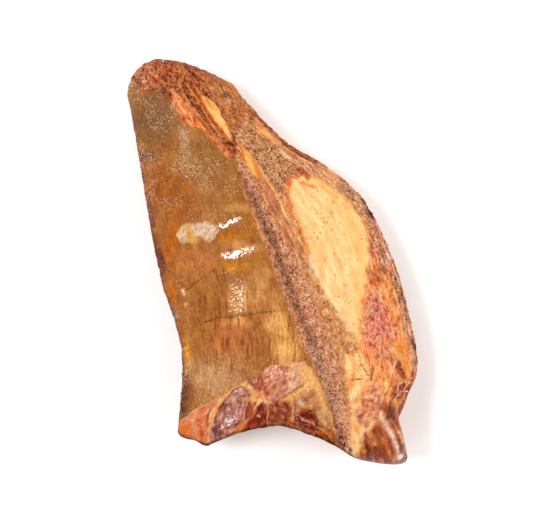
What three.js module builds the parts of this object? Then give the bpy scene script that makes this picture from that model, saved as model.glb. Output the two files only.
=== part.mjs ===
// Fossil tooth of a large meat-eating dinosaur (a carcharodontosaur): a worn, broken crown that lies on its flatter
// face. It is one solid. Frame: +X across the crown to its convex front edge, +Y from the broken base to the worn
// tip, +Z up from the surface that it rests on, with the origin under the middle of its box. Millimetres.
import * as THREE from "three";

// ---------- Driving dimensions ----------

// The four sides of the crown seen from above, as (x, y). The back edge is nearly straight, the front edge convex.
const BACK_EDGE = [
  [-14.2, -25.4], [-13.9, -21.5], [-13.6, -17.8], [-13.7, -13.3], [-14.5, -9.7], [-15.7, -6.1], [-16.7, -3.0],
  [-18.4, 5.2], [-19.9, 14.2], [-21.3, 22.0], [-21.8, 25.3],
];
const FRONT_EDGE = [
  [20.0, -29.4], [19.4, -26.3], [19.0, -24.5], [18.7, -22.9], [19.6, -21.5], [20.6, -19.1], [21.5, -17.0],
  [21.6, -15.1], [21.3, -12.8], [20.0, -5.8], [18.2, 0.2], [15.5, 6.1], [12.0, 11.1], [7.9, 14.5], [3.8, 16.9],
  [1.6, 18.4], [-2.6, 22.7], [-6.1, 26.7],
];
const BROKEN_BASE = [
  [-14.2, -25.4], [-13.6, -26.3], [-11.0, -27.2], [-9.8, -27.6], [-8.4, -27.0], [-4.9, -25.7], [-0.4, -24.8],
  [1.6, -24.8], [5.8, -25.9], [9.0, -27.3], [12.2, -29.3], [15.4, -30.0], [18.6, -30.27], [19.7, -30.0], [20.0, -29.4],
];
const WORN_TIP = [
  [-21.8, 25.3], [-21.2, 27.5], [-20.3, 28.9], [-18.7, 30.0], [-16.7, 30.4], [-12.2, 29.5], [-6.1, 26.7],
];

// Heights above the surface, as (station, height), at stations from the base (0) to the tip (1).
const CREST_HEIGHT = [[0, 12.4], [0.15, 13.2], [0.35, 12.9], [0.55, 11.8], [0.75, 10.0], [0.9, 8.3], [1, 7.2]];
const BACK_EDGE_HEIGHT = [[0, 5.2], [0.5, 4.5], [0.8, 3.9], [1, 3.6]];
const FRONT_EDGE_HEIGHT = [[0, 5.8], [0.3, 5.3], [0.6, 4.8], [0.85, 4.2], [1, 3.6]];

// Where the crest and the furrow beside it run, as (y, x).
const CREST_LINE = [[-29, 15.5], [-21, 13.6], [-13, 10.0], [-6, 6.9], [2, 3.8], [9, 0.4], [17, -4.6], [30, -13.0]];
const FURROW_LINE = [[-29, 11.3], [-19, 9.2], [-12.2, 7.1], [-5.8, 4.5], [1.9, 1.6], [8.8, -1.6], [15, -4.9], [30, -12]];
const FURROW_DEPTH = 1.1;
const FURROW_HALF_WIDTH = 1.5;
const FURROW_ENDS_AT = [8, 16]; // it runs out between these y

// The underside's curve would pass a little below the surface, so it ends in a flat patch that the tooth rests on.
const UNDERSIDE_OVERREACH = 1.25;
const PATCH_BLEND = 0.14; // how gently the curve runs into the patch

// Serrations: small blunt denticles all along both cutting edges.
const DENTICLES = 98;
const DENTICLE_HEIGHT = 0.2;
const DENTICLE_OUTLINE = [[0, 0], [0.28, 1], [0.72, 1]]; // (share of the pitch, share of the height)
const SERRATED_FROM = { back: 0.06, front: 0.16 }; // they are broken away below this station
const SERRATED_TO = 0.94;
const WORN_ABOVE = 0.82; // they fade out from here

// The broken base, as (share of the way down it, how far it stands inside the outline): its edges are blunt, and its
// middle is a shallow hollow. The spur at the front corner is rounded over.
const BASE_PROFILE = [[0, 0.35], [0.12, 0], [0.3, 0.7], [0.5, 1.5], [0.7, 1.2], [0.88, 0.1], [1, 0.4]];
const BASE_UNEVENNESS = 0.35;
const SPUR_ROUNDING = 4.2;

// ---------- Mesh layout ----------

const DENTICLES_PER_ROW = 2;
const ROWS = DENTICLES / DENTICLES_PER_ROW;
const TIP_ROWS = [0.955, 0.968, 0.979, 0.988, 0.995, 1];
const BEVEL = 0.022; // the share of the width that the serrations cut into
const BACK_COLUMNS = 15; // between the bevel and the furrow
const FRONT_COLUMNS = 12; // between the furrow and the other bevel

const { clamp, lerp, smoothstep } = THREE.MathUtils;
const UP = 1;
const DOWN = -1;

// ---------- Small tools ----------

// A smooth curve through (station, value) pairs, as a function of the station.
function curveThrough(pairs) {
  const slopeAt = (k) => {
    const [from, to] = [pairs[Math.max(k - 1, 0)], pairs[Math.min(k + 1, pairs.length - 1)]];
    return (to[1] - from[1]) / (to[0] - from[0]);
  };
  return (at) => {
    const next = pairs.findIndex(([station]) => at < station);
    const k = next < 0 ? pairs.length - 2 : Math.max(next - 1, 0);
    const [[start, low], [end, high]] = [pairs[k], pairs[k + 1]];
    const t = clamp((at - start) / (end - start), 0, 1);
    const swing = slopeAt(k) * (1 - t) - slopeAt(k + 1) * t;
    return lerp(low, high, t * t * (3 - 2 * t)) + (end - start) * t * (1 - t) * swing;
  };
}

const sideCurve = (points) => new THREE.SplineCurve(points.map(([x, y]) => new THREE.Vector2(x, y)));
const bump = (distance, halfWidth) => Math.exp(-((distance / halfWidth) ** 2));

const backEdge = sideCurve(BACK_EDGE);
const frontEdge = sideCurve(FRONT_EDGE);
const brokenBase = sideCurve(BROKEN_BASE);
const wornTip = sideCurve(WORN_TIP);
const crestHeight = curveThrough(CREST_HEIGHT);
const backEdgeHeight = curveThrough(BACK_EDGE_HEIGHT);
const frontEdgeHeight = curveThrough(FRONT_EDGE_HEIGHT);
const crestX = curveThrough(CREST_LINE);
const furrowX = curveThrough(FURROW_LINE);

// ---------- Plan: a point between the four sides ----------

// u runs from the back edge (0) to the front edge (1), and v from the base (0) to the tip (1).
function planPoint(u, v) {
  const along = brokenBase.getPointAt(u).multiplyScalar(1 - v).add(wornTip.getPointAt(u).multiplyScalar(v));
  const across = backEdge.getPointAt(v).multiplyScalar(1 - u).add(frontEdge.getPointAt(v).multiplyScalar(u));
  const low = brokenBase.points[0].clone().lerp(brokenBase.points.at(-1), u);
  const high = wornTip.points[0].clone().lerp(wornTip.points.at(-1), u);
  return along.add(across).sub(low.lerp(high, v));
}

// The share u at which the row at station v crosses a line.
function shareAtLine(lineX, v) {
  let [low, high] = [0, 1];
  for (let step = 0; step < 24; step++) {
    const middle = (low + high) / 2;
    const p = planPoint(middle, v);
    if (p.x < lineX(p.y)) low = middle;
    else high = middle;
  }
  return low;
}

// ---------- Heights of both faces ----------

// Rises from 0 at an edge (t = 0) to 1 at the crest (t = 1). Roundness 1 gives a sharp edge, and 2 a round one.
const flank = (t, fullness, roundness) => (1 - (1 - t) ** fullness) ** (1 / roundness);

const edgeHeight = (u, v) => lerp(backEdgeHeight(v), frontEdgeHeight(v), u);
const wornRound = (v) => smoothstep(v, 0.8, 0.95);
const quarterCircle = (t) => Math.sqrt(1 - clamp(t, 0, 1) ** 2);
const tipRounding = (v) => quarterCircle((v - 0.88) / 0.12);

function upperHeight(u, v, crestShare, p) {
  const spur = 1 - smoothstep(v, 0.06, 0.16);
  const shape =
    u < crestShare
      ? flank(u / crestShare, 1.7, 1.1 + 0.7 * wornRound(v))
      : flank((1 - u) / (1 - crestShare), 1.9, 1.15 + 0.7 * Math.max(wornRound(v), spur));
  const edge = edgeHeight(u, v);
  const crown = edge + (crestHeight(v) - edge) * shape * tipRounding(v);
  const inside = smoothstep(Math.min(u, 1 - u), 0, 0.06);
  return Math.max(crown - inside * relief(p.x, p.y) - SPUR_ROUNDING * spurEnd(u, v), edge);
}

// What is cut into the upper face, as a depth.
function relief(x, y) {
  const furrow = FURROW_DEPTH * bump(x - furrowX(y), FURROW_HALF_WIDTH) * (1 - smoothstep(y, ...FURROW_ENDS_AT));
  return furrow + brokenCorner(x, y) + sandyHollow(x, y) + waves(x, y) - spurRidge(x, y);
}

// The chipped corner at the back of the base, which falls away below a slanting line, with a step down to it.
function brokenCorner(x, y) {
  const below = -18.2 + 0.36 * (x + 1.5) - y;
  return 1.3 * smoothstep(below, -0.3, 8) + 0.25 * smoothstep(below, -0.3, 0.5) * (1 - smoothstep(x, 3, 7));
}

// The long hollow between the crest and the front edge near the tip, where sand still clings.
function sandyHollow(x, y) {
  return 0.5 * bump(x - crestX(y) - 2.4, 1.7) * smoothstep(y, 7, 11) * (1 - smoothstep(y, 19, 24));
}

// Two low bands that cross the back half of the enamel.
function waves(x, y) {
  const band = (at) => bump(y - at - 0.18 * (x + 8), 1.3) * (1 - smoothstep(x, -3, 0));
  return 0.16 * (band(3.0) - band(5.2) - band(0.4));
}

// The rounded ridge that ends in the spur at the front corner of the base.
function spurRidge(x, y) {
  return 0.9 * bump(x - 14.5 + 0.42 * (y + 24), 2.2) * (1 - smoothstep(y, -25, -17));
}

// How far the spur is rounded over at its end, as a share.
const spurEnd = (u, v) => (1 - quarterCircle(1 - v / 0.07)) * smoothstep(u, 0.6, 0.85);

function undersideHeight(u, v) {
  const t = 1 - Math.abs(2 * u - 1);
  const drop = UNDERSIDE_OVERREACH * flank(t, 2.2, 1.05 + 0.8 * wornRound(v)) * tipRounding(v);
  const left = Math.max(1 - drop, -PATCH_BLEND);
  return edgeHeight(u, v) * (left > PATCH_BLEND ? left : (left + PATCH_BLEND) ** 2 / (4 * PATCH_BLEND));
}

// ---------- Vertices ----------

const counted = (count) => [...Array(count).keys()];
const rowStations = counted(ROWS + 1).map((row) => (row / ROWS) * SERRATED_TO).concat(TIP_ROWS);

// The columns' shares of the width, with one on the furrow so that it keeps its shape.
function columnShares(furrowShare) {
  const back = counted(BACK_COLUMNS).map((k) => lerp(BEVEL, furrowShare, k / BACK_COLUMNS));
  const front = counted(FRONT_COLUMNS + 1).map((k) => lerp(furrowShare, 1 - BEVEL, k / FRONT_COLUMNS));
  return [0, ...back, ...front, 1];
}

const baseFade = (u) => Math.min(1, 8 * u, 8 * (1 - u));

function faceRow(v, side) {
  const crestShare = shareAtLine(crestX, v);
  const blunt = BASE_PROFILE.at(side === UP ? 0 : -1)[1];
  return columnShares(shareAtLine(furrowX, v)).map((u) => {
    const p = planPoint(u, v);
    const z = side === UP ? upperHeight(u, v, crestShare, p) : undersideHeight(u, v);
    return new THREE.Vector3(p.x, p.y + (v === 0 ? blunt * baseFade(u) : 0), z);
  });
}

// How far the serrations stand out, as a share, at station v of an edge that has them above station first.
function serration(v, first) {
  const phase = ((v / SERRATED_TO) * DENTICLES) % 1;
  const [, height] = DENTICLE_OUTLINE.findLast(([share]) => share - 1e-6 < phase && phase < 1 - 1e-6) ?? [0, 0];
  return height * smoothstep(v, first, first + 0.04) * (1 - smoothstep(v, WORN_ABOVE, 0.9));
}

// The points of one cutting edge between two rows, both ends included.
function edgePoints(curve, u, v0, v1) {
  const serrated = v1 <= SERRATED_TO + 1e-6;
  const outward = u === 0 ? -DENTICLE_HEIGHT : DENTICLE_HEIGHT;
  const first = u === 0 ? SERRATED_FROM.back : SERRATED_FROM.front;
  const steps = counted(serrated ? DENTICLES_PER_ROW : 0);
  const shares = steps.flatMap((k) => DENTICLE_OUTLINE.map(([share]) => (k + share) / DENTICLES_PER_ROW));
  return (serrated ? [...shares, 1] : [0, 1]).map((share) => {
    const v = lerp(v0, v1, share);
    const p = curve.getPointAt(v);
    const tangent = curve.getTangentAt(v);
    const out = serrated ? outward * serration(v, first) : 0;
    return new THREE.Vector3(p.x + tangent.y * out, p.y - tangent.x * out, edgeHeight(u, v));
  });
}

// ---------- Faces ----------

const corners = []; // three vectors for each triangle

function triangle(a, b, c, side) {
  const collapsed = a.distanceTo(b) < 1e-5 || b.distanceTo(c) < 1e-5 || c.distanceTo(a) < 1e-5;
  if (!collapsed) corners.push(...(side === UP ? [a, b, c] : [a, c, b]));
}

function quad(a, b, c, d, side) {
  triangle(a, b, c, side);
  triangle(a, c, d, side);
}

// Joins an edge of many points to one of two points, both running the same way.
function fan(many, [near, far], side) {
  const half = Math.floor(many.length / 2);
  for (let k = 0; k + 1 < many.length; k++) triangle(many[k], k < half ? near : far, many[k + 1], side);
  triangle(many[half], near, far, side);
}

// One face of the crown. It returns its row along the base.
function addFace(side) {
  const rows = rowStations.map((v) => faceRow(v, side));
  for (let row = 0; row + 1 < rows.length; row++) {
    const [low, high] = [rows[row], rows[row + 1]];
    const stations = rowStations.slice(row, row + 2);
    for (let column = 1; column + 2 < low.length; column++)
      quad(low[column], low[column + 1], high[column + 1], high[column], side);
    fan(edgePoints(backEdge, 0, ...stations), [low[1], high[1]], side);
    fan(edgePoints(frontEdge, 1, ...stations), [low.at(-2), high.at(-2)], -side);
  }
  return rows[0];
}

// The broken base: a wall between the two faces' rows along the base.
function addBase(upper, under) {
  const insetAt = curveThrough(BASE_PROFILE);
  const last = upper.length - 1;
  const levels = BASE_PROFILE.map(([share]) =>
    upper.map((top, column) => {
      const p = top.clone().lerp(under[column], share);
      const uneven = BASE_UNEVENNESS * Math.sin(1.4 * p.x + 1.1 * p.z) * Math.sin(0.6 * p.x - 0.9 * p.z);
      const inner = share > 0 && share < 1;
      const inset = inner ? Math.max(0, insetAt(share) + uneven) - lerp(insetAt(0), insetAt(1), share) : 0;
      return p.setY(p.y + inset * baseFade(column / last));
    }),
  );
  for (let level = 0; level + 1 < levels.length; level++) {
    const [above, below] = [levels[level], levels[level + 1]];
    for (let column = 0; column < last; column++)
      quad(below[column], below[column + 1], above[column + 1], above[column], UP);
  }
}

addBase(addFace(UP), addFace(DOWN));

// ---------- The part ----------

const geometry = new THREE.BufferGeometry().setFromPoints(corners);
geometry.computeVertexNormals();
const fossil = new THREE.MeshStandardMaterial({ color: 0xb87a45, roughness: 0.4, metalness: 0 });
const tooth = new THREE.Mesh(geometry, fossil);
tooth.name = "tooth";

const part = new THREE.Group();
part.add(tooth);
export default part;
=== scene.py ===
import bpy
import numpy as np
from mathutils import Matrix, Vector


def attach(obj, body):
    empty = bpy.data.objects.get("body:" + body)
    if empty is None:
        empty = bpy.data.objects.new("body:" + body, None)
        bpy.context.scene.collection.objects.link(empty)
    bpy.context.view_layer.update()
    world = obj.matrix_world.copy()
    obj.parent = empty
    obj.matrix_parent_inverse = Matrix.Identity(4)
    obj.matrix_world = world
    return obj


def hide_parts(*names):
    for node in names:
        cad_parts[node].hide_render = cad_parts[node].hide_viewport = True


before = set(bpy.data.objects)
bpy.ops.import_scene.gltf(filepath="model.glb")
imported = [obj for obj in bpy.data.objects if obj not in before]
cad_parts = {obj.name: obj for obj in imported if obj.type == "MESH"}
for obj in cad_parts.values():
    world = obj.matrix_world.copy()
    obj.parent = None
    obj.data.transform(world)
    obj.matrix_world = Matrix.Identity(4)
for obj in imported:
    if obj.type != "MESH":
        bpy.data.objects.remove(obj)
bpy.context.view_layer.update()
MM = 0.001

# ---------- The crown's form, as in the CAD solid ----------

BACK_EDGE = [
    (-14.2, -25.4), (-13.9, -21.5), (-13.6, -17.8), (-13.7, -13.3), (-14.5, -9.7), (-15.7, -6.1),
    (-16.7, -3.0), (-18.4, 5.2), (-19.9, 14.2), (-21.3, 22.0), (-21.8, 25.3),
]
FRONT_EDGE = [
    (20.0, -29.4), (19.4, -26.3), (19.0, -24.5), (18.7, -22.9), (19.6, -21.5), (20.6, -19.1), (21.5, -17.0),
    (21.6, -15.1), (21.3, -12.8), (20.0, -5.8), (18.2, 0.2), (15.5, 6.1), (12.0, 11.1), (7.9, 14.5),
    (3.8, 16.9), (1.6, 18.4), (-2.6, 22.7), (-6.1, 26.7),
]
BROKEN_BASE = [
    (-14.2, -25.4), (-13.6, -26.3), (-11.0, -27.2), (-9.8, -27.6), (-8.4, -27.0), (-4.9, -25.7),
    (-0.4, -24.8), (1.6, -24.8), (5.8, -25.9), (9.0, -27.3), (12.2, -29.3), (15.4, -30.0), (18.6, -30.27),
    (19.7, -30.0), (20.0, -29.4),
]
WORN_TIP_EDGE = [
    (-21.8, 25.3), (-21.2, 27.5), (-20.3, 28.9), (-18.7, 30.0), (-16.7, 30.4), (-12.2, 29.5), (-6.1, 26.7),
]
CREST_HEIGHT = [(0, 12.4), (0.15, 13.2), (0.35, 12.9), (0.55, 11.8), (0.75, 10.0), (0.9, 8.3), (1, 7.2)]
BACK_EDGE_HEIGHT = [(0, 5.2), (0.5, 4.5), (0.8, 3.9), (1, 3.6)]
FRONT_EDGE_HEIGHT = [(0, 5.8), (0.3, 5.3), (0.6, 4.8), (0.85, 4.2), (1, 3.6)]
CREST_LINE = [(-29, 15.5), (-21, 13.6), (-13, 10.0), (-6, 6.9), (2, 3.8), (9, 0.4), (17, -4.6), (30, -13.0)]
FURROW_LINE = [
    (-29, 11.3), (-19, 9.2), (-12.2, 7.1), (-5.8, 4.5), (1.9, 1.6), (8.8, -1.6), (15, -4.9), (30, -12),
]
BASE_PROFILE = [(0, 0.35), (0.12, 0), (0.3, 0.7), (0.5, 1.5), (0.7, 1.2), (0.88, 0.1), (1, 0.4)]

DENTICLES = 98  # on each cutting edge
DENTICLE_HEIGHT = 0.2
SERRATED_TO = 0.94  # the station, as a share of the way to the tip, where the last denticle ends

# ---------- Mesh layout ----------

ROWS_PER_DENTICLE = 3
TIP_ROWS = 26
UNDER_COLUMNS = 64
UPPER_PER_UNDER = 3
UPPER_COLUMNS = UNDER_COLUMNS * UPPER_PER_UNDER
BASE_LEVELS = 24
ACROSS, ALONG = 34, 56  # millimetres, about the crown's width and length


# ---------- Small tools ----------


def smooth(x, low, high):
    """0 at low, 1 at high, and a smooth rise between them."""
    t = np.clip((x - low) / (high - low), 0, 1)
    return t * t * (3 - 2 * t)


def bump(x, half_width):
    """1 where x is 0, and smoothly down to nothing on both sides."""
    return np.exp(-((x / half_width) ** 2))


def mix(a, b, share):
    """a where the share is 0, and b where it is 1."""
    return a + (b - a) * share


SCRAMBLE = (374761393, 668265263, 1440662683, 1274126177)  # large odd numbers for x, y, z and the seed


def lattice(ix, iy, iz, seed):
    """A fixed random number from -1 to 1 for each point of a whole-number grid."""
    h = ix * SCRAMBLE[0] + iy * SCRAMBLE[1] + iz * SCRAMBLE[2] + seed * SCRAMBLE[3]
    h = ((h ^ (h >> 13)) * SCRAMBLE[3]) & 0xFFFFFFFF
    return ((h ^ (h >> 16)) & 0xFFFF) / 32767.5 - 1


def noise(x, y, z=0.0, seed=0):
    """Gradient noise, about -1 to 1, with about one bump a unit."""
    x, y, z = np.broadcast_arrays(np.asarray(x, float), y, z)
    cell = [np.floor(c).astype(np.int64) for c in (x, y, z)]
    part = [c - i for c, i in zip((x, y, z), cell)]
    fade = [p**3 * (p * (p * 6 - 15) + 10) for p in part]
    total = np.zeros(x.shape)
    for corner in np.ndindex(2, 2, 2):
        at = [i + c for i, c in zip(cell, corner)]
        away = [p - c for p, c in zip(part, corner)]
        weight = np.prod([f if c else 1 - f for f, c in zip(fade, corner)], axis=0)
        total += weight * sum(lattice(*at, seed * 3 + k) * a for k, a in enumerate(away))
    return total * 1.4


def rough(x, y, z=0.0, seed=0, octaves=3):
    """Noise with finer and finer noise on it."""
    return sum(noise(x * 2**k, y * 2**k, z * 2**k, seed + k) / 2**k for k in range(octaves)) / 1.5


def curve_through(pairs):
    """A smooth curve through (station, value) pairs, as a function of the station."""
    at, value = np.array(pairs, float).T
    index = np.arange(len(at))
    behind, ahead = np.maximum(index - 1, 0), np.minimum(index + 1, len(at) - 1)
    slope = (value[ahead] - value[behind]) / (at[ahead] - at[behind])

    def curve(x):
        k = np.clip(np.searchsorted(at, x, side="right") - 1, 0, len(at) - 2)
        span = at[k + 1] - at[k]
        t = np.clip((x - at[k]) / span, 0, 1)
        swing = slope[k] * (1 - t) - slope[k + 1] * t
        return mix(value[k], value[k + 1], t * t * (3 - 2 * t)) + span * t * (1 - t) * swing

    return curve


def side(points, shares):
    """The points at these shares of the length of a Catmull-Rom curve through the given ones."""
    p = np.array([points[0], *points, points[-1]], float)
    t = np.linspace(0, 1, 60, endpoint=False)[:, None]
    runs = [
        0.5 * (2 * b + (c - a) * t + (2 * a - 5 * b + 4 * c - d) * t**2 + (3 * b - a - 3 * c + d) * t**3)
        for a, b, c, d in zip(p, p[1:], p[2:], p[3:])
    ]
    line = np.vstack([*runs, p[-1:]])
    length = np.append(0, np.cumsum(np.linalg.norm(np.diff(line, axis=0), axis=1)))
    return np.stack([np.interp(shares * length[-1], length, c) for c in line.T], axis=-1)


def to_segments(points, x, y):
    """For each segment of a line: the distance of (x, y) from it, the nearest share of it, and its ends."""
    for (x0, y0), (x1, y1) in zip(points, points[1:]):
        dx, dy = x1 - x0, y1 - y0
        t = np.clip(((x - x0) * dx + (y - y0) * dy) / (dx * dx + dy * dy), 0, 1)
        yield np.hypot(x - x0 - t * dx, y - y0 - t * dy), t, (x0, y0, x1, y1)


def within(outline, x, y):
    """How far (x, y) is inside a closed outline, in millimetres; below 0 outside."""
    nearest = np.full(np.shape(x), np.inf)
    crossings = np.zeros(np.shape(x), int)
    for distance, _, (x0, y0, x1, y1) in to_segments([*outline, outline[0]], x, y):
        nearest = np.minimum(nearest, distance)
        spans = (y0 > y) != (y1 > y)
        crossings += spans & (x < x0 + (y - y0) * (x1 - x0) / (y1 - y0 if y1 != y0 else 1))
    return np.where(crossings % 2 == 1, nearest, -nearest)


FAR_OFF = 9.0  # a distance that counts as nowhere near a line


def off_lines(lines, x, y):
    """The distance of (x, y) from the nearest of some lines, below 0 on one side of it."""
    nearest = np.full(np.shape(x), FAR_OFF)
    for points in lines:
        for distance, _, (x0, y0, x1, y1) in to_segments(points, x, y):
            side_of_it = np.where((x - x0) * (y1 - y0) > (y - y0) * (x1 - x0), 1, -1)
            nearest = np.where(distance < np.abs(nearest), side_of_it * distance, nearest)
    return nearest


# ---------- Form ----------

crest_height = curve_through(CREST_HEIGHT)
back_edge_height = curve_through(BACK_EDGE_HEIGHT)
front_edge_height = curve_through(FRONT_EDGE_HEIGHT)
crest_x = curve_through(CREST_LINE)
furrow_x = curve_through(FURROW_LINE)


def plan(u, v):
    """The (x, y) at shares u of the way across and v of the way to the tip, one row for each v."""
    low, high = side(BROKEN_BASE, u), side(WORN_TIP_EDGE, u)
    back, front = side(BACK_EDGE, v)[:, None], side(FRONT_EDGE, v)[:, None]
    across, up = u[None, :, None], v[:, None, None]
    corners = mix(mix(low[0], low[-1], across), mix(high[0], high[-1], across), up)
    p = mix(low, high, up) + mix(back, front, across) - corners
    return p[..., 0], p[..., 1]


def quarter_circle(t):
    """From 1 down to 0 along a quarter of a circle, as t goes from 0 to 1."""
    return np.sqrt(1 - np.clip(t, 0, 1) ** 2)


def flank(t, fullness, roundness):
    """How high one flank of the section stands at share t of the way from its edge to the crest."""
    return (1 - (1 - t) ** fullness) ** (1 / roundness)


def edge_height(u, v):
    return mix(back_edge_height(v), front_edge_height(v), u)


def tip_rounding(v):
    """How much of the section's height is left towards the tip."""
    return quarter_circle((v - 0.88) / 0.12)


def worn_round(v):
    """How far wear has rounded the section, from none to all of it near the tip."""
    return smooth(v, 0.8, 0.95)


def upper_height(u, v, x, y):
    """The height of the upper face, without its fine relief."""
    crest = np.array([[np.interp(0, row - crest_x(at), share)] for row, at, share in zip(x, y, u)])
    spur = 1 - smooth(v, 0.06, 0.16)
    behind = flank(np.minimum(u / crest, 1), 1.7, 1.1 + 0.7 * worn_round(v))
    ahead = flank(np.minimum((1 - u) / (1 - crest), 1), 1.9, 1.15 + 0.7 * np.maximum(worn_round(v), spur))
    edge = edge_height(u, v)
    crown = edge + (crest_height(v) - edge) * np.where(u < crest, behind, ahead) * tip_rounding(v)
    inside = smooth(np.minimum(u, 1 - u), 0, 0.06)
    spur_end = 4.2 * (1 - quarter_circle(1 - v / 0.07)) * smooth(u, 0.6, 0.85)
    return np.maximum(crown - inside * broad_relief(x, y) - spur_end, edge)


WAVES = [(3.0, 0.16), (5.2, -0.16), (0.4, -0.16)]  # low waves across the enamel: (where, how deep)


def across_ripples(x, y):
    """How far up the crown a point is, counted square to the enamel's waves and ripples."""
    return y - 0.18 * (x + 8)


def broad_relief(x, y):
    """What is cut into the upper face: furrow, chipped corner, hollow and waves, less the spur's ridge."""
    furrow = 1.1 * bump(x - furrow_x(y), 1.5) * (1 - smooth(y, 8, 16))
    below = -18.2 + 0.36 * (x + 1.5) - y
    corner = 1.3 * smooth(below, -0.3, 8) + 0.1 * smooth(below, -0.3, 0.5) * (1 - smooth(x, 3, 7))
    hollow = 0.5 * bump(x - crest_x(y) - 2.4, 1.7) * smooth(y, 7, 11) * (1 - smooth(y, 19, 24))
    waves = sum(depth * bump(across_ripples(x, y) - at, 1.3) for at, depth in WAVES)
    spur = 0.9 * bump(x - 14.5 + 0.42 * (y + 24), 2.2) * (1 - smooth(y, -25, -17))
    return furrow + corner + hollow + waves * (1 - smooth(x, -3, 0)) - spur


def under_height(u, v):
    """The height of the underside, which ends in a flat patch at 0."""
    t = 1 - abs(2 * u - 1)
    drop = 1.25 * flank(t, 2.2, 1.05 + 0.8 * worn_round(v)) * tip_rounding(v)
    left = np.maximum(1 - drop, -0.14)
    return edge_height(u, v) * np.where(left > 0.14, left, (left + 0.14) ** 2 / 0.56)


# ---------- Surface points ----------

serrated_rows = np.linspace(0, SERRATED_TO, DENTICLES * ROWS_PER_DENTICLE + 1)
tip_rows = SERRATED_TO + (1 - SERRATED_TO) * np.sin(np.linspace(0, np.pi / 2, TIP_ROWS + 1)[1:])
V = np.append(serrated_rows, tip_rows)


def base_fade(u):
    """Keeps the corners of the break where they are."""
    return np.minimum(1, 8 * np.minimum(u, 1 - u))


def face_grid(columns, height, blunt):
    """The points of one face, one row for each station: x, y, z and u, v."""
    u = np.linspace(0, 1, columns + 1)
    x, y = plan(u, V)
    u, v = np.meshgrid(u, V)
    y[0] += blunt * base_fade(u[0])
    return np.stack([x, y, height(u, v, x, y), u, v], axis=-1)


def base_grid(upper_row, under_row):
    """The points of the broken base between the two faces' first rows."""
    inset = curve_through(BASE_PROFILE)
    share = np.linspace(0, 1, BASE_LEVELS + 1)[1:-1, None, None]
    p = mix(upper_row, under_row, share)
    x, z = p[..., 0], p[..., 2]
    uneven = 0.35 * np.sin(1.4 * x + 1.1 * z) * np.sin(0.6 * x - 0.9 * z)
    blunt = mix(BASE_PROFILE[0][1], BASE_PROFILE[-1][1], share[..., 0])
    p[..., 1] += (np.maximum(0, inset(share[..., 0]) + uneven) - blunt) * base_fade(p[..., 3])
    return p


upper = face_grid(UPPER_COLUMNS, upper_height, BASE_PROFILE[0][1])
under = face_grid(UNDER_COLUMNS, lambda u, v, x, y: under_height(u, v), BASE_PROFILE[-1][1])
upper_shares, under_shares = np.linspace(0, 1, UPPER_COLUMNS + 1), np.linspace(0, 1, UNDER_COLUMNS + 1)
under_row_spread = np.stack([np.interp(upper_shares, under_shares, c) for c in under[0].T], -1)
base = base_grid(upper[0], under_row_spread)

# The points' numbers in the mesh. The faces share the cutting edges and the tip, and the base's ends are its
# corners.
upper_ids = np.arange(upper[..., 0].size).reshape(upper.shape[:2])
under_ids = np.full(under.shape[:2], -1)
under_ids[:, 0], under_ids[:, -1] = upper_ids[:, 0], upper_ids[:, -1]
under_ids[-1] = upper_ids[-1, ::UPPER_PER_UNDER]
own_under = under_ids < 0
under_ids[own_under] = upper_ids.size + np.arange(own_under.sum())
base_ids = np.full(base.shape[:2], -1)
base_ids[:, 0], base_ids[:, -1] = upper_ids[0, 0], upper_ids[0, -1]
own_base = base_ids < 0
base_ids[own_base] = upper_ids.size + own_under.sum() + np.arange(own_base.sum())
surface = np.vstack([upper.reshape(-1, 5), under[own_under], base[own_base]])
UPPER, UNDER, BASE = 0, 1, 2
face_of = np.repeat([UPPER, UNDER, BASE], [upper_ids.size, own_under.sum(), own_base.sum()])


def quads(ids):
    """Faces of four corners between the rows and columns of points."""
    return np.stack([ids[:-1, :-1], ids[:-1, 1:], ids[1:, 1:], ids[1:, :-1]], -1).reshape(-1, 4)


def six_sided(coarse, fine):
    """Faces that join a row of under points to the row of upper points beside it."""
    runs = [fine[k * UPPER_PER_UNDER : (k + 1) * UPPER_PER_UNDER + 1] for k in range(len(coarse) - 1)]
    return [[coarse[k], coarse[k + 1], *run[::-1]] for k, run in enumerate(runs)]


wall_ids = np.vstack([base_ids[::-1], upper_ids[:1]])
faces = quads(upper_ids).tolist()
upper_count = len(faces)
under_faces = quads(under_ids[:-1]).tolist() + six_sided(under_ids[-2], upper_ids[-1])
faces += [face[::-1] for face in under_faces]
under_count = len(under_faces)
base_faces = quads(wall_ids).tolist() + six_sided(under_ids[0], wall_ids[0])
faces += [list(dict.fromkeys(face)) for face in base_faces]
faces = [face for face in faces if len(set(face)) > 2]


# ---------- Regions of the upper face ----------

# What a region has where its own entry says nothing:
# pattern: the (width, length) of its spots of colour.
# level, tilt: how far it stands out, and how fast that rises in (x, y).
# rough: the (height, size) of its unevenness.
# soft, ragged: the width of its border, and how far the border strays.
# grow: how far it spreads past its outline.
# ridged: its pattern is a net of thin ridges.
# gloss, sand, fleck, streak, thread, speck, grit, shine: shares that the material reads.
# A region may also have a rim: the (colour, width) of its border.
PLAIN = dict(
    pattern=(0.6, 1.0), level=0.0, rough=(0.08, 0.7), soft=0.13, ragged=1.0, gloss=0.5, sand=0.0, fleck=0.2,
    streak=0.2, thread=0.0, speck=0.0, grit=0.5, shine=0.0, grow=0.0, ridged=False, tilt=(0, 0),
)

# Where the worn tip ends and its flakes begin.
TIP_BORDER = [(-14.8, 23.2), (-13.9, 21.8), (-12.9, 20.3), (-11.7, 19.9), (-10.5, 19.7), (-9.6, 18.5),
              (-8.2, 17)]

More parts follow.
